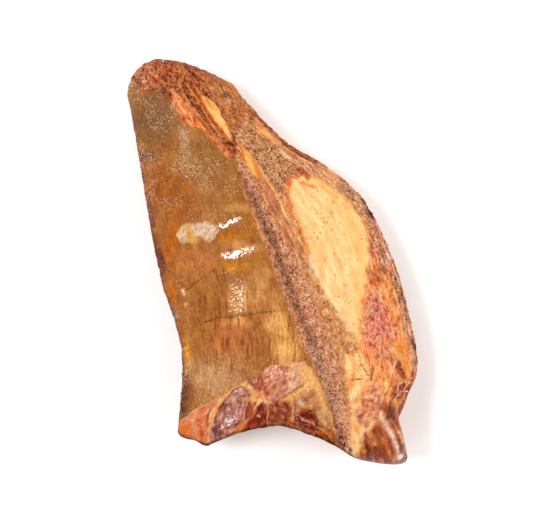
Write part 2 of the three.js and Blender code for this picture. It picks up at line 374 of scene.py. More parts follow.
# Each region is laid over the ones before it: its outline in (x, y), and its colours from the low to the high
# spots.
REGIONS = {
    # The worn front of the crown, from its tip down to the spur.
    "bare_front": dict(
        outline=[(-4.4, 23.5), (-2.2, 24.5), (8, 18), (24, 6), (26, -16), (22, -34), (10, -32),
                 (8.6, -20.8), (4.7, -12.5), (1.9, -4.4), (-1.6, 3.2), (-4.3, 10.4), (-5.8, 17)],
        colours=[(112, 44, 20), (192, 106, 58), (244, 168, 106), (255, 220, 168)], pattern=(0.4, 2.4),
        level=-0.12, rough=(0.16, 0.8), gloss=0.4, sand=0.3, streak=0.9, thread=0.3, grit=0.8,
    ),
    "edge_brown": dict(
        outline=[(-4.6, 26), (-2.6, 24), (1.9, 19.5), (4.4, 17.8), (7.8, 15.4), (6.6, 14.6), (4.4, 15.7),
                 (2.4, 16.8), (0.6, 18.2), (-1.6, 20.4), (-3.4, 22.4)],
        colours=[(96, 34, 10), (160, 70, 26), (240, 146, 66)], pattern=(0.5, 1.2), rough=(0.16, 0.6),
        gloss=0.45, sand=0.1, streak=0.7, ridged=True, grit=0.9,
    ),
    "pale_band": dict(
        outline=[(-4.4, 22.4), (-2.6, 21.6), (-0.2, 19.2), (1.8, 17.2), (1.2, 16.7), (-0.8, 18.2),
                 (-2.8, 20)],
        colours=[(198, 100, 42), (240, 158, 90), (254, 210, 146)], pattern=(0.4, 2.5), level=0.06,
        ragged=2.0, streak=0.8, soft=0.25,
    ),
    "white_flake": dict(
        outline=[(0.7, 16.6), (1.3, 16.7), (2.8, 15.3), (2.5, 14.7), (1.6, 15.4)],
        colours=[(232, 184, 140), (255, 236, 206)], pattern=(0.4, 1.5), level=0.12, rough=(0.05, 0.6),
        streak=0.4, soft=0.2, grit=0.2,
    ),
    "pink_band": dict(
        outline=[(2.9, 15.2), (4.6, 15.2), (7, 14.2), (9.6, 12.4), (11.6, 10.6), (10.1, 10.2), (7.6, 12.3),
                 (4.6, 13.3)],
        colours=[(162, 90, 60), (230, 164, 118), (252, 212, 168)], pattern=(0.35, 2.6), level=0.04,
        rough=(0.1, 0.6), gloss=0.3, sand=0.5, streak=0.6, soft=0.3, ragged=2.0, thread=0.3, grit=0.8,
    ),
    "sandy_rim": dict(
        outline=[(9.1, 11.2), (11, 12.2), (13.4, 10.1), (14.6, 8.4), (15.6, 5.1), (14.4, 4.9), (13.1, 6.9),
                 (11, 9.4), (9.5, 10.7)],
        colours=[(158, 98, 66), (232, 172, 124), (250, 204, 160)], pattern=(0.6, 0.9), rough=(0.14, 0.5),
        gloss=0.1, sand=1.0, streak=0.1, soft=0.35, ragged=2.0, fleck=0.6,
    ),
    "rim_maroon": dict(
        outline=[(13.4, 10.2), (14.6, 8.8), (16.4, 5.6), (15.4, 5.5), (14.6, 6.9), (13.4, 8.9)],
        colours=[(56, 16, 10), (104, 42, 24), (170, 104, 72)], pattern=(0.4, 0.9), rough=(0.16, 0.5),
        gloss=0.35, sand=0.4, streak=0.4, soft=0.3, ragged=2.0, grit=0.8,
    ),
    "red_fibres": dict(
        outline=[(14.3, 5.4), (15.6, 6.2), (16.8, 3.8), (18, 1.2), (19, -1.2), (17.4, -1.6), (16.2, -0.4),
                 (15, 0.6), (14.4, 2.6)],
        colours=[(124, 48, 38), (190, 106, 76), (228, 158, 122), (252, 218, 186)], pattern=(0.3, 2.2),
        rough=(0.12, 0.5), gloss=0.4, sand=0.6, streak=0.6, thread=0.7, soft=0.4, ragged=2.5, grit=0.8,
    ),
    "outer_fibres": dict(
        outline=[(18.2, 0.6), (20.6, -5), (22.4, -12), (22.4, -17), (20.8, -17.4), (20.4, -14.6),
                 (19.5, -11.4), (18.5, -7), (17.3, -3)],
        colours=[(84, 34, 22), (156, 84, 56), (212, 146, 108), (252, 218, 188)], pattern=(0.26, 1.6),
        rough=(0.16, 0.5), gloss=0.35, sand=0.5, streak=0.7, thread=0.8, soft=0.3, ragged=1.5, grit=0.9,
    ),
    # The worn tip.
    "worn_tip": dict(
        outline=[(-20.7, 27.3), (-20.3, 26.1), (-18.9, 25.5), (-17.3, 25.4), (-16.1, 24.8), *TIP_BORDER,
                 (-6.8, 15.6), (-5.4, 15.2), (-5.2, 17.2), (-5.6, 19.4), (-3, 21.4), (-3.4, 23.6), (-4, 26),
                 (-7.7, 30.3), (-17, 32.4), (-21.7, 30.3), (-21.7, 28.2)],
        colours=[(96, 32, 18), (130, 48, 22), (170, 74, 28), (254, 166, 84)], pattern=(1.1, 1.4),
        level=-0.12, rough=(0.16, 1.0), gloss=0.45, streak=0.3, ridged=True, thread=0.4, grit=0.2,
    ),
    "tip_brown": dict(
        outline=[(-10.2, 26.4), (-8.6, 27.4), (-6.5, 28), (-4, 25.4), (-2.8, 22.6), (-2.8, 20.4),
                 (-5.1, 20), (-5.8, 18.7), (-6.8, 20.5), (-7.2, 21.7), (-8.4, 23.6)],
        colours=[(96, 36, 14), (164, 82, 38), (214, 130, 68), (255, 200, 134)], pattern=(0.6, 0.9),
        rough=(0.2, 0.5), level=-0.1, gloss=0.25, sand=0.4, soft=0.6, ragged=2.5, fleck=0.5, thread=0.3,
        grit=0.55,
    ),
    "tip_lump": dict(
        outline=[(-20.4, 29), (-20.5, 26.6), (-19.7, 25.6), (-18, 25.5), (-17.5, 26.6), (-17.4, 28),
                 (-18, 29.6), (-19.4, 29.8)],
        colours=[(104, 38, 28), (156, 58, 34), (210, 100, 54), (252, 182, 134)], pattern=(0.9, 1.0),
        level=0.05, rough=(0.16, 0.8), ridged=True, thread=0.5, soft=0.3, fleck=0.5, grit=0.35,
    ),
    "tip_flakes": dict(
        outline=[(-15.4, 26), (-14.1, 25.6), (-12.6, 24.2), (-11.3, 22.3), (-9.4, 19.4), (-7.2, 17.2),
                 (-5.9, 15.4), (-6.8, 15.4), *TIP_BORDER[::-1]],
        colours=[(128, 34, 8), (206, 84, 28), (248, 146, 66), (255, 210, 140)], pattern=(0.6, 1.2),
        level=0.05, rough=(0.16, 0.6), streak=0.6, thread=0.5, soft=0.25, fleck=0.4, grit=0.4,
    ),
    "tip_lens": dict(
        outline=[(-10.7, 24.7), (-9.8, 24.5), (-8.9, 23.9), (-7.7, 22.4), (-6.8, 20.5), (-6.1, 18.7),
                 (-5.8, 17.5), (-6.4, 17.8), (-7.4, 19.2), (-8.6, 20.7), (-9.5, 22), (-10.4, 23.6)],
        colours=[(224, 130, 54), (250, 190, 106), (255, 224, 158)], pattern=(1.2, 3.0), level=0.2,
        rough=(0.03, 0.8), gloss=0.6, rim=((206, 96, 34), 0.35), soft=0.2, speck=0.5, fleck=0.0, grit=0.15,
        shine=0.2,
    ),
    # The hollow, the window of dentine below it, and the worn side beside that.
    "sandy_hollow": dict(
        outline=[(-5.4, 18.6), (-5.6, 20), (-3.6, 20.8), (-1.8, 18.9), (0.6, 17.2), (2.1, 15.4),
                 (3.6, 14.1), (3.4, 12.8), (2.1, 12), (1.7, 9.9), (1.2, 8.4), (-1.2, 12.6), (-2.9, 15.1),
                 (-4.3, 16.9)],
        colours=[(184, 112, 64), (240, 180, 126), (252, 208, 156)], pattern=(0.5, 0.6), level=-0.15,
        rough=(0.16, 0.45), gloss=0.1, sand=1.0, soft=0.4, ragged=2.0, fleck=0.5,
    ),
    "leaf": dict(
        outline=[(2.4, 12), (3.8, 12.5), (4.6, 13.4), (5.9, 12.8), (9.2, 11), (10.9, 9.5), (12.1, 8),
                 (13.3, 6.5), (14.2, 4.4), (14.5, 0.5), (14, -1.3), (14.3, -2.8), (13.6, -5), (13.2, -8),
                 (13.2, -11.6), (13.9, -14.9), (11.9, -13.6), (10.9, -10.7), (9.7, -8), (7.7, -5.9),
                 (6.8, -3.7), (5.8, -1.6), (5.2, 0.5), (4.9, 2.5), (3.8, 5), (2.7, 7.3), (2.2, 8.3),
                 (2.2, 10.4)],
        colours=[(248, 180, 108), (252, 208, 138), (255, 228, 172)], pattern=(0.9, 2.4), level=0.1,
        rough=(0.03, 1.2), gloss=0.4, streak=0.14, speck=1.0, rim=((234, 128, 66), 0.5), ragged=1.8,
        soft=0.2, fleck=0.0, grit=0.1,
    ),
    "low_dentine": dict(
        outline=[(10.1, -13.2), (12.1, -12), (13.2, -11), (14.4, -13.4), (15.4, -17.2), (16.7, -21.1),
                 (15.5, -22.3), (14.6, -24.4), (13.4, -27.2), (11.9, -30.5), (11, -25.3), (11.6, -22.3),
                 (11.2, -20.2), (10.4, -16.7)],
        colours=[(240, 142, 72), (255, 198, 128), (255, 228, 172)], pattern=(1.1, 1.8), level=0.06,
        rough=(0.07, 0.9), streak=0.25, speck=0.7, soft=0.5, ragged=2.0, fleck=0.0, grit=0.3,
    ),
    "orange_side": dict(
        outline=[(13.9, -3.4), (15.4, -1.6), (17.2, -2), (18.6, -5.4), (19.6, -9), (20.6, -12.8),
                 (20.9, -15.6), (20.2, -17.8), (19.2, -19.4), (17.4, -20), (15.6, -18.4), (14.2, -17),
                 (13.4, -14.6), (13.2, -10), (13.4, -6)],
        colours=[(142, 48, 14), (218, 106, 46), (246, 166, 96), (255, 214, 152)], pattern=(0.5, 1.6),
        rough=(0.1, 0.7), streak=0.7, thread=0.5, soft=0.6, ragged=3.0, grit=0.6,
    ),
    "amber_side": dict(
        outline=[(17.4, -11.6), (18.6, -11.6), (19.9, -13.4), (20.4, -16), (19.9, -17.4), (19, -14.6),
                 (18, -13.2)],
        colours=[(204, 92, 26), (240, 146, 62), (252, 190, 112)], pattern=(0.7, 1.6), gloss=0.7,
        rough=(0.06, 0.7), soft=0.6, ragged=2.0,
    ),
    "red_patch": dict(
        outline=[(14, -4.6), (15.5, -4.4), (16.8, -7), (18.2, -8.9), (19, -10.6), (18.2, -11.6),
                 (17.2, -12), (17.2, -13.2), (15.9, -14.5), (15, -13.8), (14.2, -12.7), (13.5, -11.6),
                 (12.8, -10.2), (12.9, -8.6), (13.6, -7)],
        colours=[(112, 32, 22), (210, 86, 58), (242, 150, 114), (255, 220, 190)], pattern=(0.4, 0.7),
        level=-0.05, rough=(0.18, 0.45), streak=0.4, thread=1.0, soft=0.8, ragged=3.0, grit=0.7,
    ),
    "magenta_core": dict(
        outline=[(14.2, -5.4), (15.3, -5.2), (16.3, -7.4), (16.7, -9.7), (16, -11.3), (15.2, -12),
                 (14.2, -10.8), (14.1, -8)],
        colours=[(118, 34, 38), (202, 76, 66), (236, 136, 114), (254, 206, 176)], pattern=(0.4, 0.6),
        rough=(0.14, 0.45), thread=1.0, soft=0.7, ragged=3.0, grit=0.6,
    ),
    "dark_flame": dict(
        outline=[(18, -13.8), (18.8, -14.5), (19.5, -16), (20, -17.6), (19.1, -17.8), (18.4, -16.7),
                 (17.9, -15.2)],
        colours=[(84, 20, 4), (150, 50, 12), (214, 104, 36)], pattern=(0.4, 1.2), level=0.08,
        rough=(0.05, 0.6), gloss=0.75, rim=((250, 192, 140), 0.2), thread=0.3, grit=0.6, fleck=0.15,
    ),
    "purple_low": dict(
        outline=[(13.2, -18.9), (14.4, -18.2), (15.2, -17.4), (15.7, -19.6), (16.6, -20.4), (16.2, -21.8),
                 (15.6, -23.3), (14.2, -23.2), (13.4, -24.2), (12.4, -23.3), (12, -22), (12.6, -21.2)],
        colours=[(136, 48, 32), (198, 100, 66), (238, 164, 118), (255, 214, 168)], pattern=(0.5, 0.7),
        gloss=0.6, thread=0.35, soft=0.7, ragged=2.5,
    ),
    # The spur and the lobe above it.
    "lobe": dict(
        outline=[(17.8, -18.2), (19.4, -17.7), (22, -17.2), (21.6, -19), (20.2, -22), (18.9, -23.4),
                 (18.1, -21.8), (17.3, -20.7), (17.6, -19.4)],
        colours=[(80, 22, 8), (124, 40, 10), (206, 100, 40), (254, 192, 134)], pattern=(0.35, 0.9),
        level=0.05, rough=(0.18, 0.5), gloss=0.65, streak=0.5, thread=0.7, soft=0.3, ragged=1.6, grit=0.8,
        shine=0.3,
    ),
    "horn": dict(
        outline=[(14.9, -21.8), (16.4, -20.7), (17.5, -21), (18.8, -23), (21, -25), (23, -33), (13, -33),
                 (12.2, -28.8), (13, -27.4), (13.2, -26), (13.5, -24.9), (14.6, -24.4), (15.3, -23.3)],
        colours=[(64, 16, 2), (122, 42, 8), (206, 112, 56), (250, 192, 140)], pattern=(0.8, 2.6),
        level=0.16, rough=(0.06, 1.2), gloss=0.9, streak=0.25, soft=0.6, ragged=2.5, grit=0.45, shine=0.2,
    ),
    # The furrow with its film of sandstone, and the slivers in it.
    "film": dict(
        outline=[(2.9, 1.7), (4.8, 2.2), (5.4, 0.2), (6.2, -2), (7.2, -4.2), (8.6, -6), (9.9, -7.8),
                 (10.9, -9.4), (12.1, -11.2), (12.5, -13.2), (11.8, -13.9), (10.4, -13.6), (10.6, -16.7),
                 (11.2, -20.2), (11.4, -22), (11.2, -26), (9.4, -25), (8.6, -20.8), (6.8, -16.1),
                 (4.7, -12.5), (2.9, -7.1), (0.8, -1.6)],
        colours=[(172, 100, 54), (224, 156, 100), (250, 202, 144)], pattern=(0.5, 0.9), level=-0.06,
        rough=(0.07, 0.5), gloss=0.25, sand=0.5, soft=0.45, ragged=1.6, grit=0.4,
    ),
    "furrow": dict(
        outline=[(-5.9, 15.9), (-5, 14.1), (-3.9, 10.4), (-2.5, 6.7), (-1.3, 3.2), (-0.1, -0.2),
                 (1.1, -3.6), (2.4, -7.1), (3.8, -10.4), (5, -13.5), (6.8, -16.6), (8.4, -20.8), (9.2, -25),
                 (9.5, -30), (12, -30), (11.2, -25), (10.4, -20.8), (9.8, -17.2), (9.1, -13.7),
                 (7.4, -10.1), (5.9, -5.6), (4.4, -2.2), (2.9, 1.7), (0.8, 5), (-0.8, 8), (-2.2, 11),
                 (-4.2, 14.6)],
        colours=[(188, 108, 68), (240, 170, 126), (252, 206, 172)], pattern=(0.5, 0.8), level=-0.2,
        rough=(0.14, 0.45), gloss=0.12, sand=1.0, streak=0.0, soft=0.45, ragged=2.0,
    ),
    "sliver": dict(
        outline=[(-2.9, 13), (-1.8, 12.7), (-0.1, 10.6), (1.3, 8.5), (2.9, 5.3), (4.5, 2.5), (5, 1.1),
                 (4.1, 1.3), (2.9, 2.9), (1.5, 5.3), (-0.1, 8.1), (-1.5, 10.6), (-2.7, 12.3)],
        colours=[(146, 78, 52), (204, 130, 90), (240, 172, 124)], pattern=(0.3, 2.2), level=0.22,
        rough=(0.03, 0.6), sand=0.4, streak=0.6, soft=0.5, grit=0.6, thread=0.25,
    ),
    "lens": dict(
        outline=[(-4.5, 17), (-3.6, 15.9), (-2.6, 14.7), (-1.8, 13.4), (-1.2, 12.1), (-1.7, 12.1),
                 (-2.7, 12.9), (-3.6, 13.9), (-4.2, 15.3)],
        colours=[(238, 146, 58), (252, 190, 98), (255, 218, 144)], pattern=(0.8, 2.5), level=0.4,
        rough=(0.03, 0.8), gloss=0.6, soft=0.15, speck=0.5, fleck=0.0, grit=0.15,
    ),
    # The chipped plates along the break.
    "chips": dict(
        outline=[(-15, -24.3), (-13.7, -24.4), (-12.4, -22.8), (-10.4, -21.5), (-8.9, -20.9), (-7.1, -19.7),
                 (-5.4, -18.5), (-4.2, -17.8), (-3.2, -17.5), (-1.6, -16.9), (-1.3, -16.1), (-0.4, -15.3),
                 (1.9, -14.9), (4.6, -14.6), (5.6, -15.7), (6.9, -18.1), (7.6, -21), (8.8, -22.9),
                 (9.2, -25), (9.4, -30), (-16, -30)],
        colours=[(232, 118, 46), (255, 186, 110), (255, 230, 178)], pattern=(0.6, 0.9), level=-0.25,
        rough=(0.1, 0.5), gloss=0.45, thread=0.2, rim=((246, 184, 128), 0.25), ragged=1.3,
    ),
    "chip_orange": dict(
        outline=[(-15, -24.3), (-13.7, -24.4), (-12.4, -22.9), (-10.4, -21.6), (-9.2, -21.5), (-9.5, -22.7),
                 (-9.8, -24.6), (-9.6, -26.6), (-10, -29), (-15, -29)],
        colours=[(176, 66, 22), (222, 108, 54), (224, 140, 104), (240, 184, 150)], pattern=(1.1, 1.3),
        level=0.05, rough=(0.06, 0.8), gloss=0.65, thread=0.1, ragged=0.8, fleck=0.35, grit=0.25, shine=0.2,
    ),
    "plate_1": dict(
        outline=[(-9.2, -29), (-9.2, -25.6), (-8.7, -23.6), (-8.1, -22.1), (-6.8, -20.1), (-5.6, -18.9),
                 (-4.6, -18.6), (-3.7, -19), (-3.4, -19.8), (-3.9, -20.6), (-4.2, -22.2), (-4.5, -23.6),
                 (-5.6, -25), (-7.4, -26.2), (-7.8, -29)],
        colours=[(90, 30, 26), (136, 66, 54), (190, 122, 104), (240, 196, 180)], pattern=(0.6, 1.5),
        level=0.32, rough=(0.03, 1.2), gloss=0.85, tilt=(0.02, -0.07), ragged=0.8, fleck=0.35, grit=0.35,
        shine=0.35, grow=0.12,
    ),
    "plate_2": dict(
        outline=[(-3.6, -20.7), (-3, -21), (-2.7, -21.6), (-2.7, -22.4), (-3.4, -23), (-4.3, -23.5),
                 (-4, -21.8)],
        colours=[(134, 42, 28), (188, 84, 64)], pattern=(0.5, 0.9), level=0.26, rough=(0.05, 0.6),
        gloss=0.8, ragged=0.8, soft=0.1, grit=0.4, shine=0.5, grow=0.12,
    ),
    "wedge": dict(
        outline=[(-3.5, -17.7), (-1.6, -17), (-1.7, -18.6), (-2.3, -19), (-2.7, -18.3)],
        colours=[(132, 52, 34), (204, 122, 92)], pattern=(0.4, 0.5), level=0.2, rough=(0.05, 0.6),
        gloss=0.7, ragged=0.8, fleck=0.3, grit=0.55, shine=0.3, grow=0.25,
    ),
    "plate_3": dict(
        outline=[(-1.2, -16.4), (-0.3, -15.7), (1.2, -15.3), (2.1, -15.6), (2.3, -17), (2.3, -18.9),
                 (1.2, -19.8), (0.1, -20.5), (-0.9, -20), (-1.2, -18.4)],
        colours=[(172, 78, 50), (198, 108, 78), (216, 144, 112), (246, 196, 164)], pattern=(0.5, 0.8),
        level=0.34, rough=(0.03, 1.2), gloss=0.8, tilt=(0.03, -0.06), fleck=0.35, ragged=0.8, grit=0.55,
        shine=0.3, grow=0.25, streak=0.1,
    ),
    "plate_4": dict(
        outline=[(2.6, -15.9), (3.4, -15.2), (4.2, -15.2), (4.4, -15.8), (4.4, -17.4), (3.6, -18.3),
                 (2.6, -18.9), (2.4, -17.4)],
        colours=[(192, 108, 66), (226, 168, 126), (250, 214, 176)], pattern=(0.5, 0.7), level=0.34,
        rough=(0.06, 0.6), gloss=0.75, fleck=0.35, thread=0.1, ragged=0.8, grit=0.55, shine=0.25, grow=0.2,
    ),
    "dark_chip": dict(
        outline=[(-4.3, -24.7), (-3.2, -23.6), (-2.4, -22.6), (-2.2, -21.6), (-1.5, -21), (-0.9, -21.2),
                 (-0.8, -24.2), (-0.9, -29), (-4.6, -29)],
        colours=[(88, 10, 0), (130, 34, 4), (206, 88, 38)], level=0.2, rough=(0.06, 0.7), gloss=0.85,
        ragged=0.8, grit=0.55, shine=0.35, grow=0.2,
    ),
    "plate_5": dict(
        outline=[(-0.6, -21.3), (0.8, -20.7), (2.5, -20.9), (2.8, -22.4), (2.1, -23.8), (0.9, -29),
                 (-0.5, -29), (-0.5, -24.2)],
        colours=[(106, 28, 8), (148, 58, 30), (206, 128, 94)], pattern=(0.5, 0.8), level=0.28,
        rough=(0.04, 1.0), gloss=0.8, fleck=0.25, thread=0.1, ragged=0.8, grit=0.55, shine=0.2, grow=0.2,
    ),
    "grey_plate": dict(
        outline=[(2.7, -20.8), (4.5, -19.1), (6, -18.4), (6.8, -19.2), (7.6, -21.2), (8.6, -23.5),
                 (8.4, -25), (6.4, -24.6), (4.5, -23.7), (3.2, -23.2)],
        colours=[(134, 66, 26), (192, 124, 76), (240, 180, 126)], pattern=(0.9, 1.2), level=0.05,
        rough=(0.05, 0.8), gloss=0.7, fleck=0.3, thread=0.2, soft=0.45, ragged=1.5, grit=0.25, shine=0.3,
        grow=0.1,
    ),
    "dark_red": dict(
        outline=[(1.6, -24.4), (3.2, -24), (3.8, -22.7), (4.8, -21.9), (5.6, -22), (6.4, -23.4), (7, -25.3),
                 (6.6, -29), (1, -29)],
        colours=[(70, 2, 0), (108, 18, 0), (182, 78, 26)], pattern=(0.6, 0.9), level=0.05,
        rough=(0.05, 0.7), gloss=0.8, thread=0.2, soft=0.4, ragged=1.2, fleck=0.15, grit=0.55, shine=0.35,
        grow=0.25,
    ),
    "amber_base": dict(
        outline=[(6.8, -25), (8.4, -24.6), (9.6, -26.2), (9.4, -29), (6.8, -29)],
        colours=[(84, 28, 2), (142, 60, 16), (216, 134, 66)], pattern=(0.5, 0.8), level=0.05,
        rough=(0.1, 0.5), gloss=0.65, sand=0.2, soft=0.4, grit=0.55,
    ),
    # The chalky scab in the middle.
    "crust": dict(
        outline=[(-14.3, 3.8), (-13.7, 4.6), (-13.4, 5.3), (-12.6, 5.6), (-11.9, 5.3), (-11.4, 5.9),
                 (-10.4, 5.6), (-9.9, 6.2), (-9, 5.8), (-8.4, 4.9), (-8, 5), (-8.1, 4.1), (-8.6, 3.2),
                 (-9.4, 2.8), (-10.4, 3.5), (-11.6, 3.6), (-12.4, 2.6), (-13.4, 2.9)],
        colours=[(186, 120, 66), (216, 172, 130), (234, 204, 174), (250, 232, 212)], pattern=(0.4, 0.5),
        level=0.15, rough=(0.16, 0.4), gloss=0.2, soft=0.3, ragged=3.0, streak=0.0, grit=0.35,
    ),
    "crust_heart": dict(
        outline=[(-12.9, 3.6), (-12.6, 5.6), (-12, 5.4), (-11.8, 4.2), (-10.7, 3.2), (-11.6, 2.6),
                 (-12.4, 2.7)],
        colours=[(206, 132, 48), (246, 200, 120)], pattern=(0.7, 0.9), level=0.08, rough=(0.03, 0.5),
        soft=0.5, ragged=1.6, streak=0.0, grit=0.1,
    ),
}

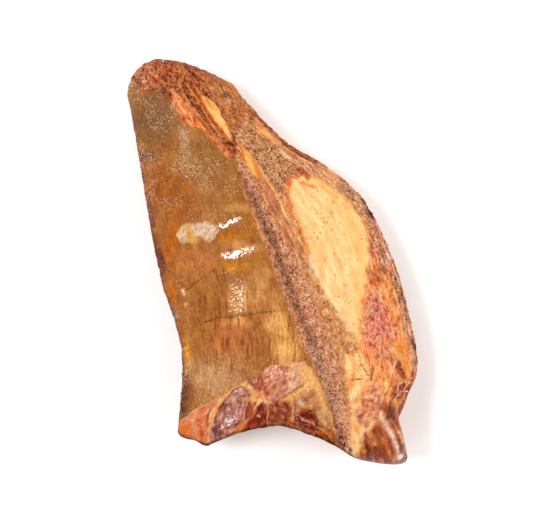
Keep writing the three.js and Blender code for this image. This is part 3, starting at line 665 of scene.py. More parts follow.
# Narrow ridges and stripes: (line, half width, how far it stands out, how strongly it shows, colour). Some
# are painted highlights, and one is painted shade, as their comments say.
STROKES = {
    "long_ridge": ([(-4.5, 16.9), (-2.6, 14.6), (-0.1, 10.9), (2.2, 6.6), (3.6, 3.8), (5, 1.4), (5.7, 0)],
        0.26, 0.4, 1.0, (244, 146, 68)),
    # Painted highlight along the lit ridge.
    "ridge_shine": ([(-2.2, 13.9), (-0.2, 10.9), (2.1, 6.6), (3.5, 3.8), (4.9, 1.4)], 0.12, 0.05, 0.8,
        (255, 214, 156)),
    "ridge_end": ([(4.9, 1.4), (5.8, -0.4), (7, -2.2)], 0.5, 0.0, 0.6, (238, 150, 84)),
    "lens_red": ([(-2.9, 14.5), (-1.6, 12.4), (-0.2, 10.2), (1, 8)], 0.22, 0.0, 0.6, (206, 92, 50)),
    "tip_1": ([(-16.6, 26.9), (-15.6, 26.4), (-13.6, 26.1), (-13.1, 24.6), (-12.3, 23.2)], 0.13, 0.2, 0.9,
        (240, 138, 60)),
    "tip_2": ([(-13.7, 24.5), (-12.3, 23), (-11.2, 22), (-9.8, 20.1), (-7.9, 17.7), (-6.1, 15.6)], 0.15,
        0.2, 0.9, (248, 156, 74)),
    "tip_3": ([(-13.9, 27.2), (-12.7, 26.2), (-11.6, 24.8), (-10.6, 23), (-9.2, 20.6), (-7.5, 18.3)], 0.15,
        0.2, 0.95, (246, 146, 62)),
    "tip_4": ([(-15.2, 28.2), (-13.5, 27.5), (-11.7, 26.8), (-9.8, 26.4), (-7.9, 25.9)], 0.13, 0.16, 0.7,
        (222, 116, 54)),
    "tip_5": ([(-11.6, 28.3), (-10.8, 27.9), (-10.2, 27.3)], 0.13, 0.1, 0.8, (232, 138, 62)),
    "tip_petal": ([(-15.6, 26.1), (-14.4, 25.7), (-13.7, 25.1)], 0.36, 0.05, 0.9, (138, 58, 34)),
    "tip_dark_1": ([(-14.9, 26.1), (-13.5, 24.5), (-12.4, 23.1), (-10.7, 21), (-8.9, 18.7), (-6.8, 16.3)],
        0.15, -0.1, 0.7, (128, 42, 14)),
    "tip_dark_2": ([(-13.1, 26), (-12.4, 24.6), (-11.7, 23.4), (-10.7, 22.3), (-9.7, 20.9)], 0.26, -0.1,
        0.85, (112, 38, 18)),
    "tip_wedge": ([(-16.2, 25.6), (-15.2, 24.5)], 0.32, -0.1, 0.8, (96, 38, 32)),
    "tip_pale": ([(-15, 25.4), (-14.3, 24.3), (-13.7, 22.9), (-13, 22.2)], 0.26, 0.1, 0.6, (252, 186, 140)),
    "tip_margin": ([(-17.4, 30.2), (-14, 29.7), (-11, 28.8), (-7.3, 27.3)], 0.35, 0.0, 0.5, (120, 62, 44)),
    "tip_orange": ([(-7, 27.1), (-6, 26.2), (-5.3, 25.3)], 0.45, 0.0, 0.75, (214, 122, 52)),
    "lens_shade": ([(-10.5, 24.9), (-9.5, 24.6), (-8.6, 23.5), (-7.6, 22.1), (-7.1, 20.9)], 0.1, -0.08,
        0.85, (96, 50, 30)),
    "lens_blob": ([(-7, 23.4), (-6.7, 22)], 0.35, 0.05, 0.8, (222, 138, 76)),
    "pale_column": ([(-13.2, 19.4), (-13, 17.4), (-12.9, 15), (-12.8, 13.4)], 0.45, 0.0, 0.22,
        (206, 182, 160)),
    "pale_head": ([(-13.3, 19.1), (-12.9, 18.2)], 0.7, 0.0, 0.3, (206, 178, 156)),
    "flank_red": ([(14.7, 1.4), (15.3, 0.2), (14.9, -1.6), (14.7, -3.2)], 0.3, 0.0, 0.8, (206, 80, 44)),
    "leaf_blob_1": ([(2.3, 12), (2.4, 11.6)], 0.45, 0.05, 0.9, (226, 104, 58)),
    "leaf_blob_2": ([(2.1, 9.6), (2.5, 8.8), (2.7, 8)], 0.32, 0.05, 0.75, (226, 106, 58)),
    "leaf_red": ([(3.9, 13.5), (4.8, 13.1), (5.2, 12.5)], 0.42, 0.0, 0.95, (150, 42, 18)),
    "leaf_stain": ([(4.2, 11.5), (5.4, 11.1), (6.4, 11)], 0.3, 0.0, 0.7, (226, 112, 54)),
    "leaf_specks": ([(7.2, 11), (8.6, 10), (9.6, 9.6)], 0.22, 0.0, 0.45, (216, 122, 66)),
    "leaf_warm_1": ([(7, 12), (11, 7.6), (13, 2), (12.9, -4), (12.4, -10)], 1.2, 0.0, 0.55,
        (252, 190, 104)),
    "leaf_warm_2": ([(3.4, 7), (5.6, 3.4), (7.6, 0)], 0.7, 0.0, 0.4, (250, 182, 108)),
    "cream_streak": ([(5.6, 0.4), (6, -1), (7.1, -2.6), (8, -4.6), (9.5, -7.1), (11.2, -9.9)], 0.42, 0.0,
        0.45, (255, 232, 180)),
    "cream_white": ([(5.5, 0.7), (5.7, -0.5), (6.4, -1.6)], 0.34, 0.03, 0.6, (255, 238, 206)),
    "white_fleck": ([(17.2, 1.1), (17.6, 0.5)], 0.3, 0.08, 1.0, (255, 244, 230)),
    "orange_fleck": ([(17.6, -0.6), (18.4, -1.4)], 0.3, 0.0, 0.8, (240, 132, 60)),
    "side_cream_1": ([(15.6, -4.5), (16.4, -6.2)], 0.16, 0.05, 0.8, (255, 224, 176)),
    "side_cream_2": ([(17.5, -5.9), (18, -7.5)], 0.18, 0.05, 0.8, (255, 218, 160)),
    "side_orange": ([(17, -4.8), (18.1, -7.9), (18.9, -10.4), (19.9, -12.6)], 0.2, 0.0, 0.7,
        (242, 142, 58)),
    "side_grey": ([(19, -5.8), (19.6, -8.9), (20.5, -12.6), (20.9, -16)], 0.26, 0.0, 0.5, (214, 172, 150)),
    "rim_dash_1": ([(21.1, -12), (21.4, -13.4), (21.5, -14.7)], 0.18, 0.0, 0.95, (58, 32, 28)),
    "rim_dash_2": ([(20, -8), (20.2, -9)], 0.14, 0.0, 0.9, (70, 36, 30)),
    "rim_dash_3": ([(18.8, -4.6), (19, -5.9)], 0.2, 0.0, 0.8, (92, 42, 38)),
    "net_1": ([(16.9, -13.4), (17.9, -12.9), (18.4, -14.1), (17.9, -15.2), (17.7, -16.4)], 0.11, 0.08, 0.8,
        (252, 216, 178)),
    "net_2": ([(17, -14.1), (17.3, -15.2), (17.8, -16.2)], 0.1, 0.08, 0.7, (252, 210, 168)),
    "lobe_top": ([(18.8, -18), (19.9, -17.9), (20.8, -18.1)], 0.14, 0.06, 0.8, (252, 194, 142)),
    "white_edge": ([(-13.4, -4.2), (-13.1, -4.9)], 0.2, 0.0, 0.9, (252, 228, 190)),
    "streak_1": ([(-10.9, -5.6), (-10.8, -7.4)], 0.11, 0.0, 0.8, (116, 50, 28)),
    "streak_2": ([(-10.1, -5.8), (-10.1, -7.6)], 0.11, 0.0, 0.6, (120, 56, 34)),
    # Painted highlight along the spur.
    "horn_shine": ([(15.6, -22.2), (16.2, -23.8), (17.1, -25.1), (17.6, -26), (18, -27.4), (18.4, -28.6)],
        0.4, 0.0, 0.9, (255, 224, 210)),
    "horn_right": ([(17.9, -22.2), (19, -24.6), (19.7, -26.8), (20, -28.6)], 0.5, 0.0, 0.6, (140, 62, 32)),
    "horn_line": ([(16.8, -23), (17.6, -24.3), (18.3, -25.5), (19, -26.7), (19.6, -27.9)], 0.11, 0.1, 0.9,
        (246, 168, 100)),
    "horn_groove": ([(17.1, -22.6), (17.9, -24), (18.6, -25.2), (19.3, -26.4)], 0.14, -0.1, 0.6,
        (104, 44, 26)),
    # Painted highlight on the spur's upper right edge.
    "horn_edge": ([(18.2, -22.1), (18.8, -23.3)], 0.1, 0.0, 0.6, (214, 182, 174)),
    # Painted shade where the spur's lower end rounds down to the break.
    "horn_rim": ([(13, -29.4), (16.4, -30), (19.4, -29.8)], 0.4, 0.0, 0.6, (104, 48, 28)),
    # Painted highlight on the lit ridge of the sand.
    "sand_shine": ([(5.6, -12.4), (6.8, -14.6), (7.7, -17), (8.5, -19.6), (9.4, -22.4)], 0.5, 0.1, 0.5,
        (255, 214, 180)),
    "chip_rib": ([(-6.5, -19.7), (-8.1, -21.3), (-8.7, -22.6), (-9.2, -24), (-9.5, -25.5), (-9.4, -27)],
        0.2, 0.14, 0.9, (248, 162, 94)),
    # Painted highlight on the first plate.
    "plate_shine": ([(-5.7, -20.3), (-5.5, -21.8), (-6.1, -23), (-6.5, -24)], 0.5, 0.0, 0.4,
        (226, 186, 180)),
    "seam_1": ([(-4.9, -20.3), (-4.3, -20.6), (-3.7, -20.1), (-2.8, -19.9), (-1.7, -20)], 0.14, 0.0, 0.9,
        (248, 162, 88)),
    "seam_2": ([(-3.3, -20.4), (-2.7, -21.5), (-2.6, -22.6), (-3.9, -23.6), (-4.9, -24.4), (-6.4, -25.5)],
        0.14, 0.0, 0.9, (246, 152, 78)),
    "seam_red": ([(-1.1, -16.8), (-1.2, -18.2), (-0.9, -19.4)], 0.3, 0.0, 0.85, (176, 56, 18)),
    "base_glow_1": ([(-5.9, -25.4), (-4.9, -24.9), (-4.2, -24.5)], 0.35, 0.0, 0.85, (238, 118, 40)),
    "base_glow_2": ([(2.2, -24.2), (4.2, -24.9), (6.3, -25.3), (8.6, -25.2)], 0.26, 0.0, 0.7,
        (222, 122, 42)),
    "glow": ([(4.7, -15.6), (5.8, -17.4), (6.9, -19.6), (7.8, -21.8)], 0.6, 0.0, 0.75, (252, 186, 108)),
    "squiggle_1": ([(3.6, -22.7), (4.9, -23.5), (6.2, -24)], 0.1, 0.0, 0.8, (252, 204, 164)),
    "squiggle_2": ([(5.7, -23.3), (6.4, -24.4), (7.6, -24.9)], 0.1, 0.0, 0.7, (250, 196, 146)),
}

# Small soft spots: (x, y, radius, colour). On the spur, the pale spot at (14.9, -26.6) and the white one at
# (18.7, -28.8) are painted highlights.
SPOTS = [
    (-13.3, -25.3, 1.7, (224, 108, 44)), (-19.7, 26.3, 0.3, (84, 36, 42)),
    (-18.5, 26.6, 0.32, (90, 38, 44)), (-19.7, 27.8, 0.3, (74, 34, 32)), (-19, 27.8, 0.2, (70, 30, 30)),
    (-19.3, 27.1, 0.34, (252, 180, 142)), (-19.7, 28.8, 0.3, (238, 146, 112)),
    (-18.7, 25.9, 0.25, (246, 150, 112)), (-14.1, 27.4, 0.34, (66, 26, 20)),
    (-13.3, 26.6, 0.28, (66, 28, 22)), (-16.4, 30, 0.3, (206, 166, 142)), (-12.2, 27.6, 0.3, (140, 72, 52)),
    (-20.9, 26.6, 0.5, (164, 124, 92)), (-6.9, 25, 0.5, (116, 66, 52)), (-5.4, 18.9, 0.16, (48, 26, 18)),
    (-2.9, 17.6, 0.3, (186, 96, 72)), (-8.6, -1.2, 0.16, (60, 24, 16)), (-9.9, -9, 0.16, (58, 24, 22)),
    (-9.2, -8.8, 0.16, (58, 24, 22)), (-12.9, -6.4, 0.35, (214, 162, 120)),
    (-15.2, -7.1, 0.35, (84, 52, 46)), (13.4, -5.9, 0.6, (232, 112, 62)), (15.1, -5.8, 0.45, (112, 44, 50)),
    (15.5, -7, 0.36, (122, 48, 54)), (15.2, -7.7, 0.45, (238, 146, 134)), (14.3, -8.3, 0.35, (150, 60, 66)),
    (16.3, -9.9, 0.5, (182, 70, 68)), (14.9, -11.2, 0.5, (190, 80, 82)), (13.8, -13.3, 0.9, (240, 128, 80)),
    (15.6, -13.8, 0.32, (118, 42, 42)), (16.6, -12.4, 0.4, (230, 122, 54)),
    (18.3, -20.9, 0.8, (222, 136, 44)), (15, -18.8, 0.35, (204, 88, 60)), (15.5, -21, 0.5, (178, 116, 96)),
    (12.8, -22.6, 0.5, (160, 84, 66)), (13.7, -23.9, 0.46, (188, 124, 100)),
    (13.8, -25.6, 0.36, (168, 80, 44)), (14.8, -26.2, 0.8, (176, 98, 56)), (15.3, -28, 1.1, (134, 56, 26)),
    (13.5, -27.8, 0.5, (222, 130, 40)), (14.9, -26.6, 0.3, (230, 182, 146)),
    (18.7, -27.4, 0.5, (100, 66, 68)), (18.7, -28.8, 0.5, (255, 250, 246)),
    (18.2, -25.4, 0.18, (255, 230, 196)), (10.1, -26, 0.34, (92, 58, 42)), (10.6, -27.2, 0.3, (76, 42, 28)),
    (11.6, -27.9, 0.36, (98, 58, 42)), (-8.9, -21.4, 0.45, (216, 108, 84)),
    (-4.6, -19.2, 0.6, (206, 146, 132)), (-8.4, -25, 0.7, (92, 50, 54)), (-2.6, -21.1, 0.24, (150, 74, 62)),
    (-2, -22.8, 0.2, (244, 206, 176)), (-2.7, -24.2, 0.5, (172, 62, 18)),
    (-2.4, -19.3, 0.5, (252, 174, 102)), (4.2, -20.8, 0.55, (224, 184, 154)),
    (4.6, -20.4, 0.25, (150, 96, 84)), (7.3, -22.4, 0.7, (206, 160, 106)),
    (4.9, -16.2, 0.9, (254, 190, 112)), (1.4, -15.7, 0.4, (160, 66, 44)),
    (0.6, -24.4, 0.3, (208, 172, 134)),
]

# Hairlines: dark splits, which are cut in, and the pale seams that stand out between the chipped plates. The
# material colours them.
SPLITS = [
    [(-12.8, -4.3), (-11.6, -3.2), (-10.3, -2.4), (-9.2, -1.6), (-8.7, -1.2)],
    [(-8.4, -1.4), (-8.1, -2.7)],
    [(-7.3, -1.4), (-7.1, -2.3)],
    [(-9.9, -9), (-8.1, -8.3), (-6.8, -8.3), (-3.9, -7.9), (-2.5, -7.6), (0.9, -7.2)],
    [(0.2, -20.8), (1.6, -20), (2.5, -19.4), (3.2, -19), (4.4, -18.2)],
    [(-9.1, -21.9), (-9.6, -22.7), (-9.7, -24.8)],
    [(12.6, -13.6), (12.9, -15), (14, -16.6)],
    [(14.4, -17.1), (14.5, -17.4)],
    [(11, -17.4), (12, -17.2), (13.3, -17.2)],
    [(20.6, -5.2), (21, -8), (21.4, -12)],
]
SEAMS = [
    [(-3.7, -20.3), (-4, -21.5), (-4.3, -23.5)],
    [(-0.8, -20.8), (-0.7, -22.6), (-0.6, -24.6)],
    [(2.4, -15.4), (2.3, -17.2), (2.4, -18.9)],
    [(0.1, -20.9), (1.4, -20.1), (2.6, -19.3), (4.5, -17.9), (5.2, -17.4)],
    [(2.9, -20.6), (3, -22.2)],
    [(-7.1, -1.6), (-5.7, -1.1)],
    [(-1.2, -16.2), (-0.4, -15.5), (1.9, -15.1), (4.4, -14.9), (5.5, -15.9)],
    [(-13.9, -24.4), (-12.4, -22.8), (-10.4, -21.5), (-7.1, -19.7), (-5.4, -18.5), (-3.2, -17.5)],
]

# Soft stains in the enamel: (middle, (half width, half length), colour).
ENAMEL = (168, 102, 44)
STAINS = {
    "dull_tip": ((-17.5, 21.5), (4.5, 5.5), (124, 82, 46)),
    "olive_top": ((-10, 15), (5, 5), (148, 94, 38)),
    "olive_by_the_furrow": ((-6.4, 10.5), (2.6, 4.5), (154, 98, 38)),
    "orange_back": ((-16.8, 11.5), (2.4, 4), (158, 82, 24)),
    "amber_column": ((-13.2, 10), (2.2, 4.5), (160, 84, 24)),
    "dark_back_spot": ((-19.1, 15.9), (1.8, 1.0), (112, 66, 50)),
    "dark_back_edge": ((-18.2, 7), (1.3, 2.4), (132, 72, 52)),
    "amber_hollow": ((-5.4, 3.7), (3.2, 0.9), (186, 104, 20)),
    "golden_hollow": ((-5.2, -0.5), (3.4, 0.8), (200, 122, 16)),
    "orange_strip": ((-14.9, 2.6), (1.2, 4.4), (184, 90, 18)),
    "dark_strip": ((-17, 0.5), (1.1, 3.6), (98, 44, 30)),
    "rosy_middle": ((-11, -0.2), (4, 2.4), (190, 112, 58)),
    "pale_band_1": ((-4.6, 7.8), (3.2, 0.8), (204, 140, 72)),
    "pale_band_2": ((-4.4, 2.2), (3.2, 0.7), (204, 142, 78)),
    "orange_strip_low": ((-14.9, -4.8), (1.4, 2.0), (188, 104, 30)),
    "grey_notch": ((-14.5, -7.9), (0.9, 1.0), (160, 118, 102)),
    "tan_by_the_furrow": ((-1.8, -4), (1.5, 3.4), (210, 146, 80)),
    "tan_low_strip": ((0.6, -9.5), (1.8, 4.5), (230, 164, 90)),
    "yellow_block": ((-5.3, -9), (1.9, 1.0), (244, 172, 80)),
    "reddish_middle": ((-6, -11.8), (4, 3), (190, 108, 56)),
    "yellow_low_edge": ((-12.6, -13.4), (1.4, 3.2), (194, 126, 48)),
    "dusty_low": ((-9, -17), (4.6, 3.2), (196, 142, 96)),
    "golden_patch": ((-5, -5.7), (2, 2.2), (214, 150, 84)),
    "dark_low_edge": ((-13.6, -20.3), (1.9, 3.4), (86, 44, 32)),
    "tan_low_column": ((2.2, -13), (2, 3.4), (240, 172, 94)),
}

# Polished places on the ripples of the enamel, which catch the light: (line, half width, how polished).
POLISHED = [
    ([(-8.4, 4.6), (-7.6, 5.3), (-7.1, 5), (-6.4, 5.8), (-4.8, 6.2)], 0.45, 1.0),
    ([(-7, 1), (-5.8, 0.9), (-4.6, 1.3), (-3.6, 1.7), (-2.2, 2.2)], 0.8, 1.0),
    ([(-5, -3.9), (-5.2, -5.6), (-5.3, -7.1)], 1.9, 0.46),
]
RIPPLES = (5.5, 1.2)  # where two fine ripples cross the enamel
RIPPLE_HEIGHT = 0.03

# The spur's own ridge: (line, half width, height).
SPUR_RIDGE = ([(17.2, -22.6), (18.3, -25.6), (19, -29)], 1.2, 0.35)
SPLIT_DEPTH, SEAM_HEIGHT, HAIRLINE = 0.1, 0.04, 0.16  # how deep, how high, and the half width of both
TIP_PROUD = 0.16  # how far the rim of the tip stands out


# ---------- Painting the faces ----------

# A noise of (x / a, y / b, 0, seed) has spots of about a by b millimetres, and each has a seed of its own, so
# that no two patterns are alike.


def ramp(value, colours):
    """A colour for each value from -1 to 1."""
    stops = np.linspace(-0.55, 0.55, len(colours))
    return np.stack([np.interp(value, stops, channel) for channel in np.array(colours, float).T], -1)


def cover(under_it, over_it, mask):
    """under_it, with over_it laid on it where the mask is 1."""
    mask = mask[:, None] if np.ndim(under_it) > 1 else mask
    return under_it + (np.asarray(over_it, float) - under_it) * mask


class Skin:
    """What the surface has at each point: relief in millimetres, colour, and what the material reads."""

    SHARES = ("gloss", "sand", "fleck", "streak", "thread", "speck", "grit", "shine")
    LINES = ("split", "seam")

    def __init__(self, size):
        self.relief = np.zeros(size)
        self.colour = np.zeros((size, 3))
        for name in self.SHARES:
            setattr(self, name, np.zeros(size))
        for name in self.LINES:
            setattr(self, name, np.full(size, FAR_OFF))

    def lay(self, region, seed, x, y, flow, stray):
        """Lays a region on. flow: millimetres across, along and down the tip. stray: how borders wander."""
        region = PLAIN | region
        depth = within(region["outline"], x + region["ragged"] * stray[0], y + region["ragged"] * stray[1])
        depth += region["grow"]
        mask = smooth(depth, -region["soft"], region["soft"])
        across, along = region["pattern"]
        octaves = 3 if region["sand"] > 0.3 else 2
        spots = rough(flow[0] / across, flow[1] / along, flow[2] / across, seed, octaves)
        if region["ridged"]:
            net = np.abs(noise(flow[0] / across, flow[1] / along, flow[2] / across, seed))
            spots = np.maximum(0.4 - 2.4 * net + 0.6 * spots, -0.5)
        self.colour = cover(self.colour, ramp(spots, region["colours"]), mask)
        if "rim" in region:
            rim, width = region["rim"]
            ragged = width * (1 + 0.8 * noise(x / 0.7, y / 0.7, 0, seed + 3))
            self.colour = cover(self.colour, rim, mask * smooth(-depth, -ragged, 0.1 - 0.2 * ragged))
        height, size = region["rough"]
        middle = np.mean(region["outline"], axis=0)
        slope = region["tilt"][0] * (x - middle[0]) + region["tilt"][1] * (y - middle[1])
        uneven = height * rough(x / size, y / size, flow[2] / size, seed + 5, octaves)
        if region["streak"] > 0.5:
            uneven = height * rough(flow[0] / (0.7 * size), flow[1] / (3 * size), 0, seed + 5, octaves)
        if region["ridged"]:
            uneven += 0.5 * height * spots
        self.relief = cover(self.relief, region["level"] + slope + uneven, mask)
        for share in self.SHARES:
            setattr(self, share, cover(getattr(self, share), region[share], mask))


def enamel(skin, x, y, off_edge):
    """The glossy enamel of the back half: stains, ripples, a darker edge and fine wrinkles beside it."""
    skin.colour[:] = ENAMEL
    wide = x + 1.1 * noise(x / 3.2, y / 3.2, 0, 31), y + 0.8 * noise(x / 3.2, y / 3.2, 0, 32)
    for middle, (half_width, half_length), colour in STAINS.values():
        reach = np.hypot((wide[0] - middle[0]) / half_width, (wide[1] - middle[1]) / half_length)
        skin.colour = cover(skin.colour, colour, 0.9 * (1 - smooth(reach, 0.25, 1.35)))
    mottled = rough(x / 1.1, y / 2.0, 0, 33, 4)
    skin.colour *= 1.02 + 0.28 * mottled[:, None] * np.array([0.7, 1, 1.3])
    near_edge = 1 - smooth(off_edge + 0.4 * noise(x, y / 2.4, 0, 34), 0.2, 0.9)
    skin.colour = cover(skin.colour, (98, 54, 42), 0.7 * near_edge)
    beside_edge = 1 - smooth(off_edge, 0.8, 2.2)
    lines = rough(off_edge / 2.6, (y - 0.4 * off_edge) / 0.42, 0, 36, 2)
    skin.colour *= 1 + 0.5 * (beside_edge * np.clip(lines, -0.4, 0.8))[:, None]
    lower = smooth(-y, 2, 6) * smooth(x, -13, -9) * (1 - smooth(-y, 15, 18))
    stripes = smooth(rough(x / 0.36 + 0.1 * y, y / 3.4, 0, 35), 0.1, 0.42) * lower
    skin.colour = cover(skin.colour, (112, 42, 18), 0.6 * stripes)
    dusty = smooth(y, 4, 12) * (1 - 0.3 * smooth(x, -8, -4))
    column = bump(off_lines([STROKES["pale_column"][0]], x, y), 0.9)
    skin.fleck = 0.22 + 0.5 * dusty + 0.4 * smooth(-y, 12, 17) + 1.2 * column
    skin.gloss[:] = 0.55
    patchy = smooth(rough(x / 0.5, y / 0.35, 0, 38), -0.3, 0.1)
    for line, half_width, share in POLISHED:
        away = np.abs(off_lines([line], x, y))
        shiny = share * patchy * (1 - smooth(away, 0.3 * half_width, 1.1 * half_width))
        skin.shine = np.maximum(skin.shine, shiny)
    skin.grit[:] = 0.35
    skin.streak = 0.35 + 0.05 * smooth(-y, 2, 8)
    skin.relief = 0.02 * rough(x / 1.5, y / 1.5, 0, 37) + 0.05 * lines * beside_edge
    ripples = sum(RIPPLE_HEIGHT * bump(across_ripples(x, y) - at, 0.9) for at in RIPPLES)
    skin.relief += ripples * smooth(x, -11, -8) * (1 - smooth(x, -3.5, -1.5))


def paint_furrow_shade_and_light(skin, x, y):
    """Painted shade darkens the furrow's back wall, and painted light brightens it just past its bottom."""
    across = (x - furrow_x(y)) / 1.5
    light = 1 - 0.24 * bump(across + 0.8, 0.5) + 0.12 * bump(across - 0.2, 0.6)
    skin.colour *= 1 + (light * (1 + 0.1 * noise(x, y / 2, 0, 91)) - 1)[:, None] * skin.sand[:, None]


def off_rim(u, v):
    """How far a point lies from the nearest edge of the crown, its base aside."""
    return np.minimum(ACROSS * np.minimum(u, 1 - u), ALONG * (1 - v))


def down_the_tip(z, v):
    """How far down the steep end of the tip a point lies, for patterns that would be drawn out there."""
    return np.maximum(0, 7 - z) * smooth(v, 0.86, 0.92)


def paint_upper(points):
    """The face in the photograph: enamel, and on it the regions, strokes and spots in their order."""
    x, y, z, u, v = points.T
    skin = Skin(len(x))
    flow = ACROSS * u, ALONG * v, down_the_tip(z, v)
    stray = [0.16 * noise(x / 1.1, y / 1.1, 0, k) + 0.1 * noise(x / 0.4, y / 0.4, 0, k + 1) for k in (21, 23)]
    enamel(skin, x, y, flow[0])
    for number, name in enumerate(REGIONS):
        skin.lay(REGIONS[name], 100 + 7 * number, x, y, flow, stray)
    paint_furrow_shade_and_light(skin, x, y)
    uneven = np.clip(0.9 + 0.9 * rough(x / 0.45, y / 0.45, 0, 92), 0.25, 1.05)
    for name, (line, half_width, height, share, colour) in STROKES.items():
        along_it = bump(off_lines([line], x + stray[0], y + stray[1]), half_width)
        skin.relief += height * along_it
        skin.colour = cover(skin.colour, colour, np.minimum(share * along_it * uneven, 1))
        # Strokes clear the sand under them, except the painted highlight on the sand's ridge.
        skin.sand *= 1 - share * along_it * (name != "sand_shine")
    for middle_x, middle_y, radius, colour in SPOTS:
        away = np.hypot(x + 1.4 * stray[0] - middle_x, y + 1.4 * stray[1] - middle_y)
        skin.colour = cover(skin.colour, colour, 0.85 * (1 - smooth(away, 0.5 * radius, 1.2 * radius)))
    for name, lines in (("split", SPLITS), ("seam", SEAMS)):
        crooked = 1.5 if name == "seam" else 0.6
        setattr(skin, name, off_lines(lines, x + crooked * stray[0], y + crooked * stray[1]))
    skin.relief += SEAM_HEIGHT * bump(skin.seam, HAIRLINE) - SPLIT_DEPTH * bump(skin.split, HAIRLINE)
    # Painted shade along the break, short of the spur: the colour is halved there.
    painted_shade_at_break = (1 - smooth(flow[1], 0.1, 0.7)) * (1 - smooth(x, 11, 13))
    skin.colour = cover(skin.colour, skin.colour * 0.5, painted_shade_at_break)
    skin.relief *= 0.25 + 0.75 * smooth(flow[1], 0.2, 1.8)  # the plates end at the break
    skin.relief *= 0.25 + 0.75 * smooth(off_rim(u, v), 0.1, 1.2)
    skin.relief += TIP_PROUD * (1 - smooth(ALONG * (1 - v), 0.3, 2))
    ridge, half_width, height = SPUR_RIDGE
    skin.relief += height * bump(off_lines([ridge], x, y), half_width)
    return skin


def paint_under(points):
    """The face out of sight: enamel over its back two thirds, worn to dentine along the front and the tip."""
    x, y, z, u, v = points.T
    skin = Skin(len(x))
    flow = ACROSS * u, ALONG * v
    skin.colour = ramp(rough(x / 5, y / 8, 3, 61), [(140, 88, 56), (172, 104, 50), (200, 138, 76)])
    edge = 1 - smooth(flow[0], 0.4, 2.2)
    skin.colour = cover(skin.colour, skin.colour * [0.74, 0.64, 0.68], 0.8 * edge)
    skin.gloss[:], skin.fleck[:], skin.streak[:], skin.grit[:] = 0.7, 0.4, 0.7, 0.4
    skin.relief = 0.03 * rough(x / 1.5, y / 1.5, 3, 62)
    ragged = noise(x / 2.5, y / 4, 3, 63)
    bare = smooth(flow[0] - 24 + 2.2 * ragged, -0.2, 0.2)
    layers = rough(flow[0] / 1.2, flow[1] / 6, 3, 64)
    dentine = ramp(layers, [(206, 124, 64), (242, 180, 108), (254, 214, 150)])
    skin.colour = cover(skin.colour, dentine, bare)
    rim = smooth(flow[0] - 31 + 0.8 * ragged, -0.2, 0.3) * bare
    fibres = ramp(rough(flow[0] / 0.5, flow[1] / 3, 3, 65), REGIONS["bare_front"]["colours"])
    skin.colour = cover(skin.colour, fibres, rim)
    tip = smooth(v - 0.86 + 0.03 * ragged, -0.005, 0.005)
    crumbs = 0.6 - 2.2 * np.abs(noise(x / 0.8, y / 1.0, z / 0.8, 66))
    skin.colour = cover(skin.colour, ramp(crumbs, REGIONS["worn_tip"]["colours"]), tip)
    skin.relief += -0.12 * bare + 0.1 * rim * rough(flow[0] / 0.5, flow[1] / 2, 3, 67)
    skin.relief += tip * (0.2 * rough(x / 0.9, y / 0.9, z / 0.9, 68) - 0.15)
    skin.gloss = cover(skin.gloss, 0.5, bare)
    skin.gloss = cover(skin.gloss, 0.4, np.maximum(tip, rim))
    skin.fleck *= 1 - np.maximum(bare, tip)
    skin.speck = bare * (1 - rim)
    skin.sand = 0.4 * rim
    skin.relief *= smooth(z, 0.02, 0.4)  # the flat patch that it rests on stays flat
    return skin


def paint_base(points):
    """The break: a thin dark rim of enamel, dentine in layers round it, and stone in the hollow."""
    x, _, z, u, _ = points.T
    skin = Skin(len(x))
    low = np.interp(x, under[0, :, 0], under[0, :, 2])
    high = np.interp(x, upper[0, :, 0], upper[0, :, 2])
    depth = np.minimum(np.minimum(z - low, high - z), 30 * np.minimum(u, 1 - u))
    layers = noise(depth / 0.5 + 0.5 * noise(x / 2, z / 2, 0, 71), x / 6, 0, 72)
    skin.colour = ramp(layers, [(160, 78, 36), (212, 130, 72), (244, 182, 118)])
    stone = smooth(depth + 0.7 * noise(x / 1.6, z / 1.6, 0, 73), 2.2, 2.7)
    sandy = ramp(rough(x, z, 0, 74), [(140, 92, 66), (198, 140, 102), (232, 178, 138)])
    skin.colour = cover(skin.colour, sandy, stone)
    rim = 1 - smooth(depth + 0.1 * noise(x / 0.6, z / 0.6, 0, 75), 0.35, 0.55)
    skin.colour = cover(skin.colour, (104, 46, 26), rim)
    skin.sand = stone
    skin.gloss = 0.35 * (1 - stone) + 0.4 * rim
    skin.grit[:], skin.fleck[:], skin.thread = 0.7, 0.15, 0.3 * (1 - stone)
    skin.relief = (0.12 + 0.1 * stone) * rough(x / 0.8, z / 0.8, 0, 76)
    return skin


painters = {UPPER: paint_upper, UNDER: paint_under, BASE: paint_base}
skins = [paint(surface[face_of == face]) for face, paint in painters.items()]


def joined(name):
    return np.concatenate([getattr(skin, name) for skin in skins])


# ---------- The crown's mesh ----------


def serration(v, first):
    """Which points of an edge are on a denticle, and how much of its denticles is left, both as shares."""
    phase = (v / SERRATED_TO * DENTICLES + 1e-6) % 1
    shown = smooth(v, first, first + 0.04) * (1 - smooth(v, 0.82, 0.9))
    return np.where((phase > 0.2) & (phase < 0.8), 1.0, 0.0) * shown, shown


# The cutting edges: (line, which way is out, first station with denticles, how much is left of them, depth of
# wear).
CUTTING_EDGES = [(BACK_EDGE, -1, 0.06, 0.5, 0.2), (FRONT_EDGE, 1, 0.16, 0.3, 0.2)]
# How far the worn front edge bulges past the plan: (middle in y, half length, how far).
BULGES = [(-12.5, 4, 0.25), (9, 2.5, 0.2)]
# How the break arches past the plan: its middle in x, half width, how far, and how far up the crown it fades.
ARCH = (0.5, 6, 0.3, 3)
RAGGED = 0.16  # how far the worn tip and front edge wander from a smooth line


